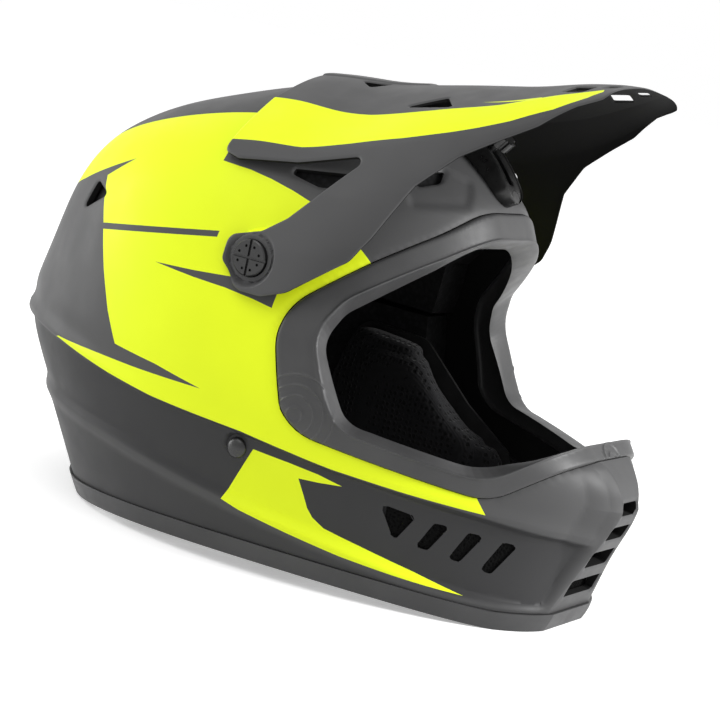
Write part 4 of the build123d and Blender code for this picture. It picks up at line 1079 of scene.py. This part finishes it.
def visor_field(points):
    """Distance into the visor's material, positive inside."""
    best = np.minimum(signed(points[:, 1:], VISOR_SIDE_LOOP), signed(points[:, :2], VISOR_PLAN_LOOP))
    windows = -np.max([signed(points[:, :2], loop) for loop in VISOR_WINDOWS], axis=0)
    return np.where(points[:, 2] > VISOR_VENT_HEIGHT * HEIGHT, np.minimum(best, windows), best)


def cut_visor():
    """The visor's net with its windows and bore cut, and edges along its painted lines."""
    count = VISOR_COUNTS[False]
    net = net_of(np.linspace(0, 1, count), np.linspace(0, 1, count))
    field = lambda uv: visor_field(visor_point(uv))
    net = kept(net, lambda uv: field(uv) + 6)
    net = kept(split(net, field, *VISOR_LEVELS), field)
    for loop in (VISOR_STRIPE, VISOR_SPIKE, VISOR_RIDGE):
        net = cut_along(net, plan_view, loop)
    return bored(net, lambda uv: visor_point(uv)[:, 1:], PIVOT, VISOR_BORE, ARM_RINGS)


def flank_turn(points):
    """How far the visor's flank has turned in towards its low edge, from 0 to 1."""
    low = -above(points[:, 1:], in_mm(VISOR_LOW)[::-1])
    return np.clip(1 + low / 24, 0, 1) * smooth((-10 - points[:, 1]) / 50) * smooth((low + 60) / 20)


def make_visor():
    """The visor with its rolled edge, raised centre, creased shoulders and bright stripe."""
    look = settings("helmet_shell")
    uv, tris = cut_visor()
    points = visor_point(uv)
    normal = looked_up(VISOR_NORMALS, uv)
    normal[np.abs(points[:, 0]) < 0.02, 0] = 0
    normal /= np.linalg.norm(normal, axis=1, keepdims=True)
    height = rolled(visor_field(points), *VISOR_ROLL)
    height += RIDGE_RISE * smooth(signed(points[:, :2], VISOR_RIDGE) / 2.0) - RIDGE_RISE
    outer = points + normal * height[:, None]
    inner = points - normal * VISOR_WALL
    away = np.hypot(*(points[:, 1:] - PIVOT).T)
    flat = smooth((ARM_RINGS[0] - away) / 3.2)
    rim = ARM_RIM * (away > ARM_RINGS[-1] - 0.05) * smooth((12.0 - away) / 0.8)
    outer[:, 0] += (ARM_FACE + rim - outer[:, 0]) * flat
    inner[:, 0] += (ARM_BACK - inner[:, 0]) * flat
    turned = flank_turn(points)
    outer -= normal * (FLANK_TURN * turned ** 2)[:, None]
    middle = plan_view(uv[tris].mean(axis=1))
    bright = (signed(middle, VISOR_STRIPE) > 0) | (signed(middle, VISOR_SPIKE) > 0)
    # Painted shade: the grey darkens where the flank turns in towards its low edge.
    piece = write_skin("visor_peak", outer, inner, tris, {"bright": bright}, {"tone": 0.4 * turned})
    paint = cloth_of("shell_paint", painted, look)
    return finish_piece(piece, paint, "visor_body", "painted_visor", "visor")


# Forehead bracket

def along_arc(degrees):
    return np.radians(degrees) * BRACKET_ARC


def long_round(points, span, half):
    """Distance into a round-ended form that lies along the bracket's arc, positive inside."""
    low, high = along_arc(span)
    middle = np.clip(points[:, 1], low + half, high - half)
    return half - np.hypot(points[:, 0], points[:, 1] - middle)


def make_bracket():
    """The round-ended slotted guide on the forehead, with a raised rim and a hollow under its face."""
    edge = lambda at: long_round(at, BRACKET_SPAN, BRACKET_HALF)
    solid = lambda at: -long_round(at, SLOT_SPAN, SLOT_HALF)
    screws = along_arc(BRACKET_SCREWS)
    seat = lambda at: np.hypot(at[:, :1], at[:, 1:] - screws).min(axis=1) - SCREW_SEAT
    low, high = along_arc(BRACKET_SPAN)
    net = net_of(np.arange(-BRACKET_HALF - 1, BRACKET_HALF + 1, BRACKET_STEP),
                 np.arange(low - 1, high + 1, BRACKET_STEP))
    net = kept(split(net, edge, *BRACKET_LEVELS, snap=0.02), edge)
    net = kept(split(net, solid, *SLOT_LEVELS, snap=0.02), solid)
    at, tris = split(net, seat, 0.2, 0, snap=0.02)
    rise = np.interp(edge(at), *np.array(BRACKET_FACE).T) + rolled(solid(at), *SLOT_ROLL)
    rise = np.where(seat(at) < 0.1, SCREW_DEPTH, rise)
    turn = at[:, 1] / BRACKET_ARC
    feet = np.interp(np.degrees(turn), BRACKET_SPAN, BRACKET_FEET)
    under = np.where(edge(at) < 1.7, feet, BRACKET_WALL)
    way = np.stack([np.zeros(len(at)), -np.cos(turn), np.sin(turn)], 1)
    centre = at[:, :1] * [1, 0, 0] + [0, *PIVOT]
    outer, inner = (centre + way * (BRACKET_ARC + height)[:, None] for height in (rise, under))
    points, every, _ = closed_skin(outer, inner, tris, {})
    piece = write_mesh("forehead_guide", points, every, sharp=30)
    plastic = cloth_of("bracket_plastic", moulded, 0.006, 0.32)
    return finish_piece(piece, plastic, "root", "black_plastic", "visor_slot_bracket")


# Pads

def of_vertices(mesh, what):
    """A vector of each vertex, such as its place or its normal."""
    flat = np.zeros(len(mesh.vertices) * 3)
    mesh.vertices.foreach_get(what, flat)
    return flat.reshape(-1, 3)


def put_vertices(mesh, points):
    mesh.vertices.foreach_set("co", np.asarray(points).ravel())
    mesh.update()


def pressed_out(piece, pressure):
    """Lets cloth under pressure swell a piece for some frames."""
    cloth = piece.modifiers.new("cloth", "CLOTH")
    cloth.settings.use_pressure = True
    cloth.settings.uniform_pressure_force = pressure
    cloth.settings.effector_weights.gravity = 0
    cloth.settings.quality = 5
    cloth.collision_settings.use_collision = False
    cloth.point_cache.frame_start, cloth.point_cache.frame_end = 1, CLOTH_FRAMES
    for number in range(1, CLOTH_FRAMES + 1):
        bpy.context.scene.frame_set(number)
    apply_modifiers(piece)
    bpy.context.scene.frame_set(1)


def swollen(node, name, shrink, cap):
    """A pad grown from its CAD form by cloth under pressure."""
    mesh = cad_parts[node].data.copy()
    mesh.name = name
    piece = bpy.data.objects.new(name, mesh)
    bpy.context.scene.collection.objects.link(piece)
    remesh = piece.modifiers.new("remesh", "REMESH")
    remesh.mode = "VOXEL"
    remesh.voxel_size = PAD_VOXEL * MM
    apply_modifiers(piece)
    start = of_vertices(piece.data, "co") - of_vertices(piece.data, "normal") * shrink * MM
    put_vertices(piece.data, start)
    pressed_out(piece, settings("helmet_pads").pressure)
    moved = of_vertices(piece.data, "co") - start
    length = np.linalg.norm(moved, axis=1, keepdims=True)
    put_vertices(piece.data, start + moved * np.minimum(1, cap * MM / np.maximum(length, 1e-9)))
    smoother = piece.modifiers.new("smooth", "SMOOTH")
    smoother.factor, smoother.iterations = 0.5, 3
    finer = piece.modifiers.new("finer", "SUBSURF")
    finer.levels = finer.render_levels = 1
    apply_modifiers(piece)
    piece.data.shade_smooth()
    return piece


def sewn(piece, *fields):
    """Presses sewn channels into a pad where a field of its points, in millimetres, is near zero."""
    points = of_vertices(piece.data, "co")
    press = np.max([hill(field(points / MM), 2.2) for field in fields], axis=0)
    normals = of_vertices(piece.data, "normal")
    put_vertices(piece.data, points - normals * (press * SEAM_DEPTH * MM)[:, None])


def channel(axis, place):
    """Distance to a sewn channel across an axis, on both sides where the axis is X."""
    return lambda points: (points[:, axis] if axis else np.abs(points[:, 0])) - place


def pad_border(low, high, inset):
    """Distance to a line that runs round a pad, inside the border of its side view."""
    middle, half = (np.array(low) + high) / 2, (np.array(high) - low) / 2

    def field(points):
        reach = np.abs(points[:, 1:] - middle) / half
        return (np.linalg.norm(reach ** 2.5, axis=1) ** 0.4 - 1) * half.min() + inset
    return field


def make_pads():
    """The liner pads: crown, brow, nape, neck roll and both cheeks."""
    fabric = cloth_of("pad_fabric", knit, settings("helmet_pads").fabric)
    cheek = pad_border((-74, 26), (38, 108), 9)
    for node, shrink, cap, *fields in (
        ("crown_pad", 2.0, 5.0, channel(0, 0), channel(0, 42), channel(1, 38)),
        ("brow_pad", 1.2, 4.0, channel(0, 0), channel(0, 34)),
        ("nape_pad", 1.6, 5.0, channel(0, 0), channel(0, 44), channel(2, 108)),
        ("neck_roll", 1.6, 5.0, channel(0, 0), channel(0, 42)),
        ("cheek_pad_left", 1.2, 5.0, cheek),
        ("cheek_pad_right", 1.2, 5.0, cheek),
    ):
        name = node.replace("pad", "cushion").replace("roll", "cushion")
        piece = swollen(node, name, shrink, cap)
        sewn(piece, *fields)
        finish_piece(piece, fabric, "root", "pad_fabric", node)


# Straps

def bent_path(points, radius, step=1.2):
    """Even points along an open path with its corners rounded."""
    points = np.asarray(points, float)
    arcs = [rounded_corner(*corner, radius, 8) for corner in zip(points, points[1:], points[2:])]
    line = np.vstack([points[:1], *arcs, points[-1:]])
    run = run_of(line)
    at = np.linspace(0, run[-1], int(run[-1] / step) + 1)
    return np.stack([np.interp(at, run, values) for values in line.T], 1)


def powered(value, power):
    return np.sign(value) * np.abs(value) ** power


def webbing_mesh(name, side, path):
    """Flat webbing along a path in XZ, with rounded selvedges and a slight crown."""
    path = bent_path(path, 3.0)
    tangent = np.gradient(path, axis=0)
    tangent /= np.linalg.norm(tangent, axis=1, keepdims=True)
    normal = np.stack([-tangent[:, 1], tangent[:, 0]], 1)
    turn = np.linspace(0, 2 * math.pi, 41)[:-1]
    across = powered(np.cos(turn), 0.25) * WEB_WIDTH / 2
    rise = powered(np.sin(turn), 0.5) * WEB_THICK / 2
    rise *= 1 - 0.12 * hill(np.abs(across) - WEB_WIDTH / 2 + 2.2, 0.8)
    points = np.empty((len(path), len(turn), 3))
    points[:, :, 0] = side * (path[:, :1] + normal[:, :1] * rise)
    points[:, :, 1] = STRAP_Y + across
    points[:, :, 2] = path[:, 1:] + normal[:, 1:] * rise
    index = np.arange(points[:, :, 0].size).reshape(len(path), -1)
    a, b = index[:-1], index[1:]
    tris = [quads(a, b, np.roll(b, -1, axis=1), np.roll(a, -1, axis=1))]
    for row in (index[0], index[-1][::-1]):
        tris.append(np.stack([np.full(len(row) - 2, row[0]), row[1:-1], row[2:]], 1))
    return write_mesh(name, points.reshape(-1, 3), np.vstack(tris)[:, ::side])


def stitches(name, places):
    """Short raised upright stitches, each a small pointed bead."""
    turn = np.linspace(0, 2 * math.pi, 7)[:-1]
    bead = np.array([(-math.sin(a) * r, math.cos(a) * r, t) for t, r in STITCH for a in turn])
    points = (np.array(places)[:, None] + bead).reshape(-1, 3)
    index = np.arange(len(points)).reshape(len(places), len(STITCH), -1)
    a, b = index[:, :-1], index[:, 1:]
    return write_mesh(name, points, quads(a, np.roll(a, -1, axis=2), np.roll(b, -1, axis=2), b))


def webbing_loop(name):
    """The end of the short strap, sewn round the bars of the two rings."""
    turn = np.linspace(0, 2 * math.pi, 49)[:-1]
    centre = np.stack([np.cos(turn), np.sin(turn) * LOOP_FLAT], 1) * LOOP_REACH
    out = np.stack([np.cos(turn), np.sin(turn) / LOOP_FLAT], 1)
    out /= np.linalg.norm(out, axis=1, keepdims=True)
    across, rise = np.array(LOOP_SECTION).T
    points = np.empty((len(turn), len(rise), 3))
    points[:, :, 0] = HANG_X + centre[:, :1] + out[:, :1] * rise
    points[:, :, 1] = STRAP_Y + across
    points[:, :, 2] = LOOP_Z + centre[:, 1:] + out[:, 1:] * rise
    a = np.arange(points[:, :, 0].size).reshape(len(turn), -1)
    b = np.roll(a, -1, axis=0)
    tris = quads(a, b, np.roll(b, -1, axis=1), np.roll(a, -1, axis=1))
    return write_mesh(name, points.reshape(-1, 3), tris[:, ::-1])


def make_straps():
    """Both chin straps in webbing, with the stitching that closes the short one's loop."""
    cloth = cloth_of("webbing", woven, (0.028, 0.028, 0.03))
    start = [(WEB_X, STRAP_TOP), (WEB_X, SLOT_Z), (HANG_X, SLOT_Z)]
    piece = webbing_mesh("strap_short", 1, start + [(HANG_X, LOOP_FOOT)])
    finish_piece(piece, cloth, "root", "webbing", "chin_strap_left")
    turned = webbing_loop("strap_loop")
    turned.data.materials.append(cloth)
    turned.parent = piece
    fold_x = HANG_X - FOLD_GAP
    fold = [(HANG_X, LONG_FOOT), (fold_x, LONG_FOOT), (fold_x, SLOT_Z - TAIL_DROP)]
    piece = webbing_mesh("strap_long", -1, start + fold)
    finish_piece(piece, cloth, "root", "webbing", "chin_strap_right")
    thread = cloth_of("thread", moulded, (0.05, 0.05, 0.052), 0.6)
    seam = [(HANG_X + 1.05, STRAP_Y + dy, z) for dy in (-8, 8) for z in np.arange(34.5, 42, 2.8)]
    finish_piece(stitches("strap_stitches", seam), thread, "root", "webbing")


# Kept CAD nodes

def dress(nodes, material):
    """Gives CAD nodes a material in place of their plain one."""
    for name in nodes:
        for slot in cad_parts[name].material_slots:
            slot.material = material


def make_hardware():
    """Materials of the parts that keep their CAD form."""
    look = settings("helmet_trim")
    for key, make, values, nodes in (
        ("edge_rubber", rubber, (look.rubber,), ("base_trim",)),
        ("liner_foam", beaded_foam, ((0.016, 0.016, 0.017),), (
            "crown_foam", "chin_foam_left", "chin_foam_right", "cheek_foam_left", "cheek_foam_right")),
        ("filter_foam", open_foam, (0.005,), (
            "side_vent_filter_left", "side_vent_filter_right", "chin_vent_filter")),
        ("black_plastic", moulded, (0.010, 0.42), (
            "cheek_plate_left", "cheek_plate_right", "cheek_snaps", "visor_washer_left",
            "visor_washer_right", "strap_snap")),
        ("black_screw", moulded, (0.008, 0.3), (
            "visor_screw_left", "visor_screw_right", "visor_thumbscrew", "bracket_screws",
            "strap_rivets")),
        ("steel", metal, ((0.55, 0.55, 0.56), 0.28), (
            "ring_inner", "ring_outer", "strap_anchor_left", "strap_anchor_right",
            "visor_insert_left", "visor_insert_right", "visor_slide_nut")),
    ):
        dress(nodes, cloth_of(key, make, *values))


# Stage

def background_rays(mix):
    """One on the rays that show the background: from the camera, a reflection or a clear surface."""
    rays = mix.tree.nodes.new("ShaderNodeLightPath").outputs
    seen = rays["Is Camera Ray"]
    for name in ("Is Glossy Ray", "Is Transmission Ray"):
        seen = mix.math("MAXIMUM", seen, rays[name])
    return seen


def make_floor():
    mesh = bpy.data.meshes.new("floor")
    corners = [(x * FLOOR_HALF, y * FLOOR_HALF, 0) for x, y in ((-1, -1), (1, -1), (1, 1), (-1, 1))]
    mesh.from_pydata(corners, [], [(0, 1, 2, 3)])
    floor = bpy.data.objects.new("floor", mesh)
    bpy.context.scene.collection.objects.link(floor)
    pale = material("floor_pale", Roughness=0.9, Emission_Color=1.0)
    seen = background_rays(pale)
    pale.set("Base Color", pale.blend(seen, 0.75, 0.95))
    pale.set("Emission Strength", pale.math("MULTIPLY", seen, 0.35))
    mesh.materials.append(pale.owner)


def make_lamp(name, place, size, power):
    light = bpy.data.lights.new(name, "AREA")
    light.energy, light.size = power, size
    made = bpy.data.objects.new(name, light)
    made.location = place
    made.rotation_mode = "QUATERNION"
    made.rotation_quaternion = (Vector(LAMP_AIM) - Vector(place)).to_track_quat("-Z", "Y")
    bpy.context.scene.collection.objects.link(made)


def make_camera():
    """The camera at the photograph's angle."""
    data = bpy.data.cameras.new("camera")
    data.sensor_width, data.lens = 36, CAMERA_LENS
    data.clip_start, data.clip_end = 0.05, 50
    camera = bpy.data.objects.new("camera", data)
    turned = Matrix(CAMERA_AXES).transposed().to_4x4()
    camera.matrix_world = Matrix.Translation(CAMERA_PLACE) @ turned
    bpy.context.scene.collection.objects.link(camera)
    return camera


def make_stage():
    """Pale floor, soft lights and the camera at the photograph's angle."""
    look = settings("helmet_stage")
    scene = bpy.context.scene
    make_floor()
    world = Mix(bpy.data.worlds.new("studio"), "Background", Color=1.0)
    world.set("Strength", world.range(background_rays(world), look.sky, 1.0))
    scene.world = world.owner
    for name, place, size in LAMPS:
        make_lamp(name, place, size, getattr(look, name + "_power"))
    scene.camera = make_camera()
    scene.view_settings.view_transform = "Standard"


class HELMET_OT_stage(bpy.types.Operator):
    """Make the floor, the lights and the camera"""
    bl_idname = "helmet.stage"
    bl_label = "Stage"

    def execute(self, context):
        make_stage()
        return {"FINISHED"}


class HELMET_OT_shell(bpy.types.Operator):
    """Make the painted shell"""
    bl_idname = "helmet.shell"
    bl_label = "Shell"

    def execute(self, context):
        make_shell()
        return {"FINISHED"}


class HELMET_OT_eye_trim(bpy.types.Operator):
    """Make the rubber edge of the eye port"""
    bl_idname = "helmet.eye_trim"
    bl_label = "Eye port trim"

    def execute(self, context):
        make_eye_trim()
        return {"FINISHED"}


class HELMET_OT_visor(bpy.types.Operator):
    """Make the visor"""
    bl_idname = "helmet.visor"
    bl_label = "Visor"

    def execute(self, context):
        make_visor()
        return {"FINISHED"}


class HELMET_OT_bracket(bpy.types.Operator):
    """Make the slotted forehead bracket"""
    bl_idname = "helmet.bracket"
    bl_label = "Forehead bracket"

    def execute(self, context):
        make_bracket()
        return {"FINISHED"}


class HELMET_OT_pads(bpy.types.Operator):
    """Make the liner pads"""
    bl_idname = "helmet.pads"
    bl_label = "Pads"

    def execute(self, context):
        make_pads()
        return {"FINISHED"}


class HELMET_OT_straps(bpy.types.Operator):
    """Make both chin straps"""
    bl_idname = "helmet.straps"
    bl_label = "Chin straps"

    def execute(self, context):
        make_straps()
        return {"FINISHED"}


class HELMET_OT_hardware(bpy.types.Operator):
    """Give the trims, foams, plates, screws and rings their materials"""
    bl_idname = "helmet.hardware"
    bl_label = "Hardware"

    def execute(self, context):
        make_hardware()
        return {"FINISHED"}


class HELMET_PT_panel(bpy.types.Panel):
    """Lists the pieces of the helmet"""
    bl_idname = "HELMET_PT_panel"
    bl_label = "Helmet"
    bl_space_type = "VIEW_3D"
    bl_region_type = "UI"
    bl_category = "Helmet"

    def draw(self, context):
        for owner in SETTINGS:
            group = getattr(context.scene, owner)
            box = self.layout.box()
            for key in group.__annotations__:
                box.prop(group, key)
        for piece in PIECES:
            self.layout.operator(piece.bl_idname)


SETTINGS = {
    "helmet_shell": ShellSettings, "helmet_trim": TrimSettings,
    "helmet_pads": PadSettings, "helmet_stage": StageSettings,
}
PIECES = (
    HELMET_OT_stage, HELMET_OT_shell, HELMET_OT_eye_trim, HELMET_OT_visor, HELMET_OT_bracket,
    HELMET_OT_pads, HELMET_OT_straps, HELMET_OT_hardware,
)


def register():
    for group in SETTINGS.values():
        bpy.utils.register_class(group)
    for name, group in SETTINGS.items():
        setattr(bpy.types.Scene, name, bpy.props.PointerProperty(type=group))
    for piece in PIECES + (HELMET_PT_panel,):
        bpy.utils.register_class(piece)


def unregister():
    for piece in PIECES + (HELMET_PT_panel,):
        bpy.utils.unregister_class(piece)
    for name, group in SETTINGS.items():
        delattr(bpy.types.Scene, name)
        bpy.utils.unregister_class(group)


def main():
    register()
    for piece in PIECES:
        area, action = piece.bl_idname.split(".")
        getattr(getattr(bpy.ops, area), action)()


if __name__ == "__main__":
    main()
